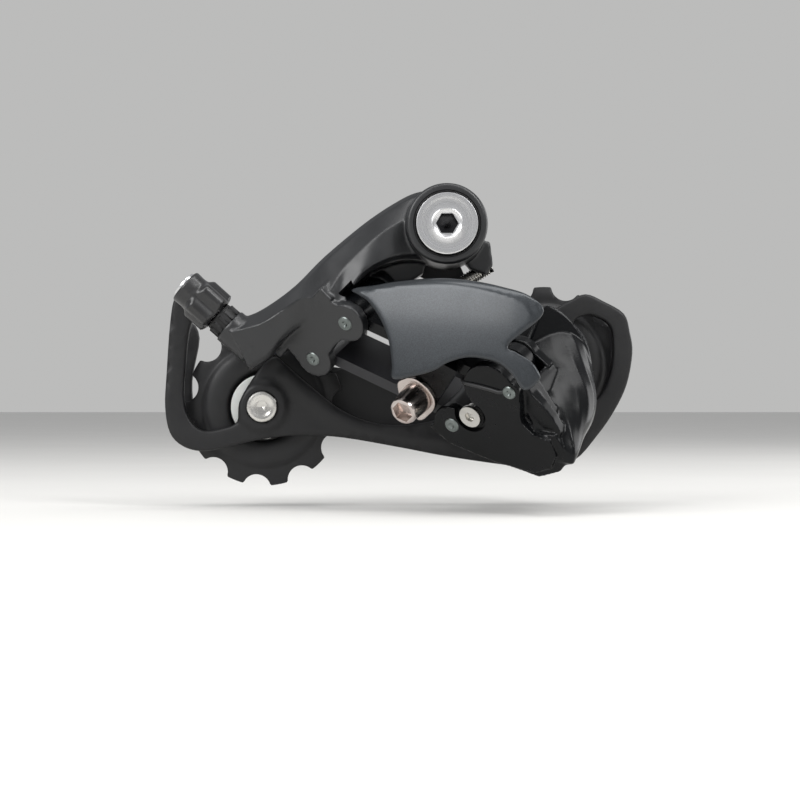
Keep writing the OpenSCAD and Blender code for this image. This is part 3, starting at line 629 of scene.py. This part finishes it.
def cross_cut(at, direction, size, depth):
    """The two slots of a cross recess, out of a head's face."""
    basis, at = axes_along(direction), Vector(at)
    for wide, thin in ((size, size * 0.26), (size * 0.26, size)):
        yield slab([(-wide, -thin), (wide, -thin), (wide, thin), (-wide, thin)], -depth, 1,
                   lambda u, v, w: at + basis @ Vector((u / 2, v / 2, w)))


screw = threaded(-1.6, 7.6, 1.95, pitch=0.7, depth=0.3) + [(7.75, 1.9), (7.95, 1.6)]
stand_in("b_tension_screw_cut", [turned([(-1.61, 1.2)] + screw, tension_screw_at, tension_screw_axis, 48)],
         nickel_plate, "b_tension_screw", "bright_screw", "b_tension_screw",
         cutters=cross_cut(tension_screw_at + tension_screw_axis * 8.0, tension_screw_axis, 2.6, 1.2))
for name, v in limit_screws.items():
    at = in_links(limit_screw_tip, v, limit_screw_depth)
    body = [(0, 1.1)] + threaded(0.05, 10.0, limit_screw_r - 0.02, pitch=0.6, depth=0.25) + [
        (10.1, limit_screw_r - 0.1), (10.41, 2.5), (10.7, 2.78), (11.6, 2.7), (12.1, 2.2), (12.28, 1.4)]
    stand_in(name + "_cut", [turned(body, at, -ALONG, 48)], nickel_plate, name, "bright_screw", name,
             cutters=cross_cut(at - ALONG * 12.3, -ALONG, 3.4, 1.3))


# ---- Links ----
# Two links join the bodies: an outer one cast in aluminium and painted gloss black, with the lug for the
# cable's clamp, and a straight inner one of pressed steel. A coil spring lies round the outer link's pin.
# Gloss black paint: deep black with a tight, clear shine and a faint orange peel of 0.6 mm.
gloss_black_paint, tree, shader, place = start_material(
    "gloss_black_paint", "#060708", Roughness=0.27, Specular_IOR_Level=0.2)
mottled(tree, shader, rough_skin(tree, shader, place, 0.6, 4, 0.2, 0.3), "#070809", "#0b0c0e")
# Black paint on pressed steel: thinner and duller than on the castings.
pressed_steel_paint, tree, shader, place = start_material("pressed_steel_black_paint", "#1b1b1e",
                                                          Roughness=0.42)
mottled(tree, shader, rough_skin(tree, shader, place, 0.35, 8, 0.36, 0.5), "#19191c", "#222226")
keep("outer_link", gloss_black_paint, 0.45)
keep("inner_link", pressed_steel_paint, 0.45)


# ---- Link cover ----
# The shield over the outer link: pressed aluminium, domed, folded back along its top edge and painted
# in a dark grey metallic gloss.
def smooth_outline(outline, steps=4):
    """A closed curve through an outline's points."""
    return [tuple(q) for q in flow(outline, steps, True)]


def border_distance(points, outlines):
    """How far each point is from the nearest of the outlines."""
    best = np.full(len(points), 1e9)
    for outline in outlines:
        a = np.array(outline)
        run = np.roll(a, -1, 0) - a
        for start, step in zip(a, run):
            t = np.clip(((points - start) @ step) / max(step @ step, 1e-12), 0, 1)
            best = np.minimum(best, np.linalg.norm(points - start - t[:, None] * step, axis=1))
    return best


def within(points, outline):
    """Which points lie inside an outline."""
    a, inside = np.array(outline), np.zeros(len(points), bool)
    for (x0, y0), (x1, y1) in zip(a, np.roll(a, -1, 0)):
        crosses = (y0 > points[:, 1]) != (y1 > points[:, 1])
        inside ^= crosses & (points[:, 0] < (x1 - x0) * (points[:, 1] - y0) / ((y1 - y0) or 1e-12) + x0)
    return inside


def rolled(distance, radius):
    """How far a rolled edge falls away at a distance from the border."""
    d = np.clip(radius - distance, 0, radius)
    return radius - np.sqrt(radius ** 2 - d ** 2)


def relief(outline, holes, spacing, front, back, place, extra=()):
    """A plate whose two faces may dome: front and back take (u, v, distance from the border) and give
    the height, and place(u, v, height) gives the point. extra adds points where a step needs them."""
    outlines = [outline] + list(holes)
    a = np.array(outline)
    low, high = a.min(0), a.max(0)
    rows = [(low[0] + (i + 0.5 * (j % 2)) * spacing, low[1] + j * spacing * 0.866)
            for j in range(int((high[1] - low[1]) / spacing / 0.866) + 1)
            for i in range(int((high[0] - low[0]) / spacing) + 1)]
    grid = np.array(rows)
    rolled_rows = (0.12, 0.35, 0.75)  # rows of points along each rolled edge, clear of the even grid
    keepers = [grid[border_distance(grid, outlines) > 0.8 + spacing * 0.5]]
    for offset in rolled_rows:
        for edge in outlines:
            e = np.array(edge)
            run = np.roll(e, -1, 0) - np.roll(e, 1, 0)
            normal = np.stack([-run[:, 1], run[:, 0]],
                              1) / np.maximum(np.linalg.norm(run, axis=1), 1e-9)[:, None]
            for sign in (-1, 1):
                row = e + normal * offset * sign
                keepers.append(row[border_distance(row, outlines) > offset * 0.93])
    if len(extra):
        keepers.append(np.array(extra))
    inner = np.concatenate(keepers)
    ok = within(inner, outline)
    for hole in holes:
        ok &= ~within(inner, hole)
    inner = inner[ok]
    points, edges = [], []
    for edge in outlines:
        n, first = len(edge), len(points)
        points += [Vector(q) for q in edge]
        edges += [(first + i, first + (i + 1) % n) for i in range(n)]
    points += [Vector(q) for q in inner]
    flat, _, faces, _, _, _ = geometry.delaunay_2d_cdt(points, edges, [], 0, 1e-5)
    flat = np.array([tuple(q) for q in flat])
    middles = np.array([flat[list(f)].mean(0) for f in faces])
    ok = within(middles, outline)
    for hole in holes:
        ok &= ~within(middles, hole)
    faces = [tuple(f) for f, good in zip(faces, ok) if good]
    used = sorted({i for f in faces for i in f})
    index = {old: new for new, old in enumerate(used)}
    flat, faces = flat[used], [tuple(index[i] for i in f) for f in faces]
    distance = border_distance(flat, outlines)
    count, verts = len(flat), []
    for heights in (front(flat[:, 0], flat[:, 1], distance), back(flat[:, 0], flat[:, 1], distance)):
        verts += [place(u, v, w) * MM for (u, v), w in zip(flat, heights)]
    once = {}
    for f in faces:
        for k in range(len(f)):
            pair = (f[k], f[(k + 1) % len(f)])
            once[pair] = once.get(pair, 0) + 1
    sides = [(b, a, a + count, b + count) for a, b in once if (b, a) not in once]
    return verts, faces + [tuple(i + count for i in f[::-1]) for f in faces] + sides


# Grey metallic gloss: fine aluminium flakes, about 0.1 mm and drawn at 0.25 mm to show, under a clear coat.
grey_metallic_paint, tree, shader, place = start_material(
    "grey_metallic_paint", "#2a2d31", Metallic=0.5, Roughness=0.33, Coat_Weight=0.35, Coat_Roughness=0.14)
flakes = add_node(tree, "ShaderNodeTexVoronoi", {"Scale": 5500}, {"Vector": place})
flake_tone = add_node(tree, "ShaderNodeValToRGB", links={"Fac": flakes.outputs["Color"]})
flake_tone.color_ramp.elements[0].color = linear("#212427")
flake_tone.color_ramp.elements[1].color = linear("#33373b")
tree.links.new(flake_tone.outputs["Color"], shader.inputs["Base Color"])
tilt = add_node(tree, "ShaderNodeBump", {"Strength": 0.25, "Distance": 0.00001},
                {"Height": flakes.outputs["Distance"]})
tree.links.new(tilt.outputs[0], shader.inputs["Normal"])
drift = add_node(tree, "ShaderNodeTexNoise", {"Scale": 140, "Detail": 3}, {"Vector": place})
haze = add_node(tree, "ShaderNodeMapRange", {"To Min": 0.28, "To Max": 0.4}, {"Value": drift.outputs["Fac"]})
tree.links.new(haze.outputs[0], shader.inputs["Roughness"])

cover_outline = [(-24.6, -16.8), (-18, -15.7), (-12, -14.9), (-2, -14.4), (6, -15.3), (13, -16.9),
                 (20, -19.4), (23.2, -24), (14.8, -31.4), (16.6, -33.4), (19.8, -35.4), (21.6, -37.6),
                 (22.2, -40.2), (18.6, -42.8), (15.6, -39), (12.6, -36.2), (8.6, -34.9), (4.4, -34.6),
                 (0, -35.8), (-3.6, -37.8), (-8, -39), (-13.8, -39.8), (-14.2, -36), (-15, -30),
                 (-17.2, -24.4), (-20.6, -19.6)]
cover_middle, cover_r, cover_t = (72, 148.5, -52), 200, 1.8
top_edge = flow(cover_outline[:8], 6)


def on_dome(u, v, w):
    """A point of the cover, w behind the front of the ball that its dome is a part of."""
    deep = math.sqrt(cover_r ** 2 - (u - cover_middle[0]) ** 2 - (v - cover_middle[2]) ** 2)
    return Vector((u, cover_middle[1] - deep + w, v))


def below_top(u, v):
    """Distance below the cover's top edge, and how far along it a point is, from 0 to 1."""
    path, points = np.array(top_edge), np.stack([u, v], 1)
    apart = np.linalg.norm(points[:, None] - path[None], axis=2)
    return apart.min(1), apart.argmin(1) / (len(path) - 1)


def cover_front(u, v, distance):
    """The cover's front: its rolled edges, and the fold along its top, which widens to the right."""
    under, share = below_top(u, v)
    fold = 0.7 + 1.9 * share
    return rolled(distance, 0.6) + 0.95 * np.clip(1 - under / fold, 0, 1)


cover = relief(smooth_outline(cover_outline, 6), [], 0.9, cover_front,
               lambda u, v, d: cover_t - rolled(d, 0.3), on_dome)
stand_in("link_cover_pressed", [cover], grey_metallic_paint, "outer_link", "grey_metallic_paint",
         "link_cover", sharp=60)


# ---- Cable clamp ----
# A nickel-plated steel bolt, turned with a tapered head and a 5 mm hex socket, clamps the gear cable
# under a small bent plate on the outer link's lug.
# Nickel over steel: bright and slightly pink, with turning marks round the head.
warm_nickel, tree, shader, place = start_material("nickel_plated_steel", "#c5bbb6", Metallic=1.0,
                                                  Roughness=0.2)
mottled(tree, shader, rough_skin(tree, shader, place, 0.4, 8, 0.14, 0.28), "#b4a9a4", "#cfc6c1")
clamp_at = (26.6, 18)
clamp_low, clamp_high = -0.35, 0.95
plate = [(-6.2, -1), (-5.6, 2), (-5.0, 3.2), (-3.4, 4.6), (0, 5.2), (3.4, 4.2), (5.1, 2), (5.4, -1),
         (4.6, -5.2), (0, -5.2), (-3.6, -3.8)]
clamp_plate = relief([(clamp_at[0] + u, clamp_at[1] + v) for u, v in smooth_outline(plate, 4)],
                     [circle(clamp_at, 2.6, 40)], 0.9, lambda u, v, d: clamp_high - rolled(d, 0.35),
                     lambda u, v, d: clamp_low + rolled(d, 0.15), in_links)
stand_in("cable_plate_stamped", [clamp_plate], warm_nickel, "outer_link", "nickel_steel", "cable_plate")
head_low, head_high = clamp_high + 0.05, clamp_high + 7.25
bolt = [(-3.1, 2.2), (-2.8, 2.5), (head_low - 0.01, 2.5), (head_low, 3.9), (head_low + 0.25, 4.2),
        (head_low + 0.9, 4.18), (head_low + 5.6, 3.74), (head_high - 0.75, 3.68), (head_high - 0.2, 3.45),
        (head_high, 3.05), (head_high - 0.05, 2.8)]
clamp_socket = hex_hole(in_links(*clamp_at, head_high), PIN_AXIS, across=5.0, depth=3.4)
stand_in("cable_bolt_turned", [turned(bolt, in_links(*clamp_at, 0), PIN_AXIS)], warm_nickel, "outer_link",
         "nickel_steel", "cable_bolt", cutters=[clamp_socket])


# ---- P-body ----
# The body at the linkage's far end, cast in aluminium and painted gloss black: a flat face round the
# pins, a tall convex wall that shields the guide pulley and the barrel that holds the cage's axle.
pivot = at_joint("cage_swing")
solid_from = p_in[0] + 6.0
face = [(34, 12.9), (41, 13.6), (53, 20), (63, 26.6), (65.4, 33), (64.4, 38.6), (57.6, 40.4), (53.8, 36.6),
        (49.4, 36.6), (43, 44)]
inset_face = [(34, 12.9), (41, 13.6), (53, 20.8), (61.4, 27.6), (63.2, 32.6), (61.6, 37), (57.6, 39),
              (53.8, 36.6), (49.4, 36.6), (43, 44)]
anchor_at, stop_screw_at = (41.9, 41.2), (39.6, 25.8)
middle_part = [(solid_from, 14.8), (53, 19.4), (58.4, 25), (61, 31), (61, 36.8), (56, 40.4), (50, 42.4),
               (solid_from, 44)]
rear_part = [(solid_from, 16), (51, 19), (54, 24), (55.4, 30), (54, 36), (51, 39.6), (46.5, 41),
             (solid_from, 41.4)]
back_plate = [(36, 14.2), (solid_from + 1, 15.4), (solid_from + 1, 42), (36, 41.6)]
# Stations down the wall (x, y, z): the root under the face, the crest beside it and the brow round the
# outside. The hood and the hollow are the wall's outline and the space behind it (x, z).
crest = [(25.0, -9.5, -20.8), (22.9, -11.5, -25.5), (21.2, -14.5, -30.5), (21.3, -18, -34.6),
         (23.0, -21.8, -37.6), (25.6, -25.8, -41.2), (28.0, -29.2, -45.2), (29.9, -32, -49.6),
         (31.0, -34.2, -54.0), (31.4, -35.4, -58.2), (31.0, -35.2, -61.2)]
brow = [(26.6, -8, -20.0), (32.5, -9.5, -23.6), (36.8, -11.5, -28.8), (38.2, -13.4, -35),
        (38.7, -14.5, -39.5), (39.0, -16, -43.5), (38.6, -18, -47.6), (37.2, -21.4, -51.4),
        (34.9, -25, -54.8), (32.8, -30, -58.6), (31.4, -33, -61.2)]
root = [(25.2, -7.5, -20.8), (23.0, -9.5, -25.5), (20.0, -12, -31.4), (17.6, -18, -37), (17, -27, -41),
        (18, -33, -44), (19.5, -33.4, -47.5), (21.5, -32.8, -51.5), (24, -33.0, -55.5), (26, -32.3, -58.5),
        (28, -32.1, -60.8)]
least_swell, more_swell = 0.15, 0.2  # the wall bulges most in its upper half
rings = []
for i, (left, inner, outer) in enumerate(zip(root, crest, brow)):
    left, a, b = (np.array(q, float) for q in (left, inner, outer))
    share = i / (len(crest) - 1)
    out = np.array([0.42 + 0.5 * share, -0.9 + 0.42 * share, 0.08])
    swell = np.linalg.norm(b - a) * (least_swell + more_swell * math.sin(math.pi * min(share * 1.25, 1)))
    wall = [a + (b - a) * t + out * swell * math.sin(math.pi * t)
            for t in (0.12, 0.28, 0.45, 0.62, 0.78, 0.9)]
    rings.append([left, a] + wall + [b, b + (-2.2, 3.2, -0.6), a * 0.5 + b * 0.5 + (-0.5, 3.6, 0.4),
                                     a + (0.6, 4.0, 0.6), left + (0, 4.5, 0)])
hood = [(25.4, -20.6), (29.6, -21.8), (33.8, -25.8), (37.2, -31.6), (38.4, -38.4), (38.9, -44.2), (37.8, -50),
        (34.6, -56), (30, -59), (24, -52), (19.8, -42), (20.2, -34), (22.8, -26.4)]
hollow = [(27, -28), (30.4, -28.4), (33.4, -32.8), (35, -39), (35.4, -44.4), (34.8, -48), (25, -47),
          (23.6, -36)]
lug_r, barrel_r, p_spring_room_r, axle_r = 15.3, 11.5, 8, 4
stop_lug = [(0, 0)] + [(lug_r * math.cos(math.radians(t)), lug_r * math.sin(math.radians(t)))
                       for t in range(160, 191, 5)]
under_cover = [(44, 34), (60, 36), (58.5, 41), (54.5, 42.6), (50, 43.4), (44, 43.4)]
p_body = cast("p_body_cast", [
    loft(flow(rings, 6)), rod(pivot, barrel_r, -20.4, 2.3), slab(face, front_ear[0], -1.5, in_links),
    slab(inset_face, *front_ear, in_links), slab(circle(anchor_at, 2.7), *front_ear, in_links),
    slab(circle(p_in, ear_r), *front_ear, in_links), slab(circle(p_out, 7.2), *front_ear, in_links),
    slab(middle_part, -9, front_ear[0] + 0.1, in_links),
    slab(under_cover, -6, -2.9, in_links),
    slab(rear_part, back_ear[0], -8.9, in_links),
    slab(back_plate, *back_ear, in_links), slab(circle(p_in, ear_r), *back_ear, in_links),
    slab(circle(p_out, ear_r), *back_ear, in_links), slab(smooth_outline(hood), -15, -3),
    slab([(pivot[0] + u, pivot[2] + v) for u, v in stop_lug], -3, 2.3)], gloss_black_paint, soften=4)
stop_foot = in_links(*stop_screw_at, 0)
rim = [(1.4, 4.5), (-1.4, 4.5), (-1.4, 3.7), (-0.95, 3.55), (-0.95, 2.45), (-3.4, 2.45), (-3.4, 0.01)]
carve(p_body, [
    slab([(-10, -60), (solid_from, -60), (solid_from, 60), (-10, 60)], back_ear[1], front_ear[0], in_links),
    slab(hollow, -7.8, -1), rod(pivot, p_spring_room_r, -13.5, 4),
    rod(pivot, axle_r + clearance, -24, 0),
    turned(rim[::-1], stop_foot, PIN_AXIS, 64),
    rod((pivot[0], 0, pivot[2]), 40, 2.4, 6)])
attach(p_body, "p_body")
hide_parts("p_body")
stand_in("spring_anchor_turned", [pin(anchor_at, 0.3, 1.8, front_ear[0])], zinc_plate, "p_body", "zinc_steel",
         "spring_anchor_pin")
profile = [(-3.15, 2.2), (-3.0, 2.42), (-0.95, 2.42), (-0.94, 3.0), (-0.2, 3.1), (0.1, 2.95), (0.1, 1.7)]
stand_in("p_stop_screw_cut", [turned(profile, stop_foot, PIN_AXIS)], nickel_plate, "p_body", "bright_screw",
         "p_stop_screw", cutters=[hex_hole(in_links(*stop_screw_at, 0.1), PIN_AXIS, across=2.5, depth=1.3)])
leg = [in_links(*q) for q in flow([(31.6, 32.0, -1.2), (32.6, 33.0, -0.2), (35.6, 35.6, 0.0),
                                   (38.5, 37.9, 0.0), (40.0, 39.0, 0.0), (40.8, 39.9, -0.4)], 6)]
return_coil = coil(in_links(*p_out, 0), PIN_AXIS, mean_r=4.1, start=-12.3, end=-7.8, turns=3.4)
return_wire_r, leg_wire_r = 0.85, 0.55
stand_in("return_spring_coil", [tube(return_coil, return_wire_r), tube(leg, leg_wire_r)], black_steel,
         "p_body", "spring_steel", "return_spring")
p_coil = coil((pivot[0], 0, pivot[2]), Y_AXIS, mean_r=6.6, start=-12.2, end=1.0, turns=7.3)
stand_in("p_spring_coil", [tube(p_coil, wire_r)], spring_steel, "p_body", "spring_steel", "p_spring")


# ---- Cage plates ----
# Two pressed aluminium plates, painted matt black, carry the pulleys: a thick outer one, open at the rear
# for the chain, with a domed boss round the tension bolt, and a thin inner one.
# Matt black paint on aluminium: dull and even, with a soft grain of 0.35 mm.
matt_black_paint, tree, shader, place = start_material("matt_black_paint", "#101011", Roughness=0.48,
                                                       Specular_IOR_Level=0.4)
mottled(tree, shader, rough_skin(tree, shader, place, 0.35, 9, 0.44, 0.56), "#0f0f11", "#151516")
low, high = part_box("cage_outer_plate")
plate_boss, plate_back = low.y / MM, high.y / MM
plate_front = plate_boss + 1.4
guide, tension = at_joint("guide_pulley_spin"), at_joint("tension_pulley_spin")
plate_outline = [
    (-68.8, -15.2), (-72.8, -17), (-74.3, -24), (-75.3, -38), (-75.7, -47), (-74.4, -54), (-71, -57.6),
    (-66, -59), (-60, -58.2), (-53, -56.5), (-46, -55.3), (-38, -54.7), (-27, -55.4), (-12, -58),
    (0, -60.3), (14, -62.4), (26, -63.6), (35, -61.6), (41.5, -54.6), (46.1, -47.9), (49.4, -40.8),
    (50.9, -32.4), (50.2, -26.8), (48.6, -21.8), (43, -18.4), (38.2, -16.5), (33.6, -18.4), (27, -22),
    (19, -26), (14.6, -33), (12, -41), (6, -47.6), (-4, -51), (-14, -52), (-22, -50.6), (-29, -47.2),
    (-34.6, -42.8), (-39.6, -38.6), (-43.6, -35), (-46.2, -33.4), (-49.4, -36), (-52.8, -40.6),
    (-55.6, -46), (-56.2, -51), (-60, -52.8), (-65.6, -53.4), (-69, -50.4), (-70.6, -45), (-70.2, -36),
    (-69.2, -27), (-67.4, -21), (-66.4, -17)]
window = [(34.8, -24.4), (37.4, -22.4), (40.4, -22.4), (44.6, -25), (45.6, -29.8), (45.2, -36.2),
          (43.1, -42.2), (40.6, -45.2), (39.2, -42), (38.8, -34), (37.6, -28.6)]
boss_at, boss_r, seat_r = (tension.x, tension.z), 5.8, 4.3
steps_at = [p for r in (seat_r - 0.1, seat_r + 0.1, 4.7, 5.3, boss_r, 6.3, 7.0, 8.0)
            for p in circle(boss_at, r, 56)]
crease = np.array(flow([(-43.4, -38.5), (-36, -45.4), (-26, -51.6), (-16, -54.6), (0, -56.4)], 8))
boss_height, boss_slope, crease_depth, crease_width, seat_depth = 1.4, 2.6, 0.7, 1.7, 0.9


def cage_front(u, v, distance):
    """The outer plate's front: a domed boss with a flat seat for the bolt, and a pressed crease."""
    from_boss = np.hypot(u - boss_at[0], v - boss_at[1])
    climb = np.clip((boss_r + 2.2 - from_boss) / boss_slope, 0, 1)
    height = plate_front - boss_height * climb ** 2 * (3 - 2 * climb)
    from_crease = np.linalg.norm(np.stack([u, v], 1)[:, None] - crease[None], axis=2).min(1)
    height -= crease_depth * np.exp(-(from_crease / crease_width) ** 2) * (from_boss > seat_r)
    height = height + rolled(distance, 0.75)
    return np.where(from_boss < seat_r, plate_front - seat_depth, np.maximum(height, plate_boss))


bolt_holes = [circle((guide.x, guide.z), 2.5, 32), circle(boss_at, 2.5, 32)]
outer_plate = relief(smooth_outline(plate_outline), [smooth_outline(window)] + bolt_holes, 1.2, cage_front,
                     lambda u, v, d: plate_back - rolled(d, 0.5), in_side, steps_at)
stand_in("cage_outer_plate_pressed", [outer_plate], matt_black_paint, "cage", "cage_black",
         "cage_outer_plate", sharp=50)
low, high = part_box("cage_inner_plate")
inner_front, inner_back = low.y / MM, high.y / MM
inner_outline = [
    (-70.4, -24), (-73.4, -34), (-74.2, -46), (-71.8, -54), (-66, -57.4), (-58, -56.6), (-48, -54.2),
    (-30, -54.6), (-12, -57.2), (8, -60), (26, -61), (37, -56), (45, -45), (47.6, -33), (44.6, -23),
    (36, -18.6), (26, -21), (17, -27), (9, -34), (-4, -37.4), (-18, -37.6), (-32, -35.8), (-46, -34.6),
    (-54, -40.6), (-57, -49.6), (-63.6, -52.6), (-68.4, -49), (-69.6, -40), (-67.6, -28)]
inner_plate = relief(smooth_outline(inner_outline), bolt_holes, 1.6,
                     lambda u, v, d: inner_front + rolled(d, 0.5),
                     lambda u, v, d: inner_back - rolled(d, 0.5), in_side)
stand_in("cage_inner_plate_pressed", [inner_plate], matt_black_paint, "cage", "cage_black",
         "cage_inner_plate", sharp=50)


# ---- Cage axle and bolts ----
# The turned axle that carries the cage in the P-body's barrel, its nylon seal, the pressed stop pin and
# the two nickel-plated bolts that hold the pulleys between the plates.
axle = [(-19.6, 3.4), (-19.2, 4), (2.2, 4), (2.21, 5.5), (plate_front - 0.01, 5.5), (plate_front, 4),
        (plate_back - 0.3, 4), (plate_back, 3.7)]
stand_in("p_axle_turned", [turned(axle, (pivot.x, 0, pivot.z))], zinc_plate, "cage", "zinc_steel", "p_axle")
seal = [(2.45, 8.5), (2.45, 11.0), (plate_front - 0.05, 11.0), (plate_front - 0.05, 8.5)]
stand_in("p_seal_moulded", [turned(seal, (pivot.x, 0, pivot.z), ring=True)], black_nylon, "cage",
         "black_nylon", "p_seal_ring")
low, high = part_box("cage_stop_pin")
stop = [(low.y / MM, 1.1), (low.y / MM + 0.4, 1.5), (high.y / MM - 0.2, 1.5), (high.y / MM, 1.3)]
stand_in("cage_stop_pin_turned", [turned(stop, ((low.x + high.x) / 2 / MM, 0, (low.z + high.z) / 2 / MM),
                                         steps=32)],
         nickel_plate, "cage", "bright_screw", "cage_stop_pin")
for name, at in (("guide_bolt", guide), ("tension_bolt", tension)):
    low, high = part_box(name)
    at = Vector((at.x, 0, at.z))
    if name == "guide_bolt":
        out, mouth, tail, seat = Y_AXIS, high.y / MM, -low.y / MM, high.y / MM - 1.8
    else:
        out, mouth, tail, seat = -Y_AXIS, -low.y / MM, high.y / MM, -(low.y / MM + 1.6)
    body = [(-tail, 2.2), (-tail + 0.3, 2.49), (seat - 0.01, 2.49), (seat, 4.0), (seat + 0.15, 4.1),
            (mouth - 0.35, 4.1), (mouth - 0.08, 3.9), (mouth, 3.6), (mouth, 2.7), (mouth - 0.15, 2.45)]
    stand_in(name + "_turned", [turned(body, at, out)], nickel_plate, "cage", "bright_screw", name,
             cutters=[hex_hole(at + out * mouth, out, across=3.0, depth=1.3)])


# ---- Pulleys ----
# Two moulded nylon wheels of eleven teeth, each turning on a steel sleeve between two pale acetal dust
# caps. The tooth gaps are the size of a chain's rollers.
# Moulded nylon: soft dark grey, worn slightly paler, with a mould's fine grain.
pulley_nylon, tree, shader, place = start_material("moulded_nylon", "#161617", Roughness=0.45,
                                                   Specular_IOR_Level=0.4)
mottled(tree, shader, rough_skin(tree, shader, place, 0.3, 9, 0.4, 0.54), "#131314", "#1b1b1d")
# Acetal: off-white, waxy and slightly see-through, a little soiled.
pale_acetal, tree, shader, place = start_material("pale_acetal", "#c9c8c4", Roughness=0.45,
                                                  Subsurface_Weight=0.08)
mottled(tree, shader, rough_skin(tree, shader, place, 0.5, 5, 0.38, 0.52), "#c0bfba", "#d2d1cd")
teeth, pitch_r, roller_r = 11, 6.35 / math.sin(math.pi / 11), 3.95
tip_r, hub_half, tooth_half, bore_r = pitch_r - 0.9, 2.7, 1.2, 4.55


def toothed(angle, along, radius):
    """The wheel's radius at an angle: its rim, cut by the nearest roller gap."""
    if radius < pitch_r - roller_r - 1:
        return radius
    off = (angle + math.pi / teeth) % (2 * math.pi / teeth) - math.pi / teeth
    gap = roller_r ** 2 - (pitch_r * math.sin(off)) ** 2
    return min(radius, pitch_r * math.cos(off) - math.sqrt(gap)) if gap > 0 else radius


half = [(hub_half, bore_r + 0.15), (hub_half, 6.9), (tooth_half + 0.1, 7.3), (tooth_half, 9.2), (2.2, 9.7),
        (2.62, 10.6), (hub_half, 12.0), (2.68, 13.6), (2.5, 15.0), (2.0, 16.2), (1.4, 16.7),
        (tooth_half, 17.4), (tooth_half, 18.4), (1.1, 19.4), (0.95, 20.4), (0.6, tip_r - 0.1), (0.3, tip_r)]
for name, at, turn in (("guide", guide, 74.8), ("tension", tension, 68.3)):
    ring = [(along, r) for along, r in half] + [(-along, r) for along, r in half[::-1]]
    wheel = turned(ring, at, steps=440, ring=True, shape=toothed, turn=-math.radians(turn))
    stand_in(name + "_pulley_moulded", [wheel], pulley_nylon, name + "_pulley", "pulley_nylon",
             name + "_pulley", sharp=40)
    sleeve = [(-2.8, 2.52), (-2.8, 4.4), (-2.7, 4.5), (2.7, 4.5), (2.8, 4.4), (2.8, 2.52)]
    stand_in(name + "_sleeve_turned", [turned(sleeve, at, ring=True)], spring_steel, "cage", "spring_steel",
             name + "_sleeve")
    caps = []
    for side in (-1, 1):
        cap = [(side * 2.9, 2.52), (side * 2.9, 8.6), (side * 3.05, 8.8), (side * 3.7, 8.8),
               (side * 4.0, 8.5), (side * 4.08, 8.0), (side * 4.08, 2.52)]
        caps.append(turned(cap, at, ring=True))
    stand_in(name + "_dust_caps_moulded", caps, pale_acetal, "cage", "cap_plastic", name + "_dust_caps")
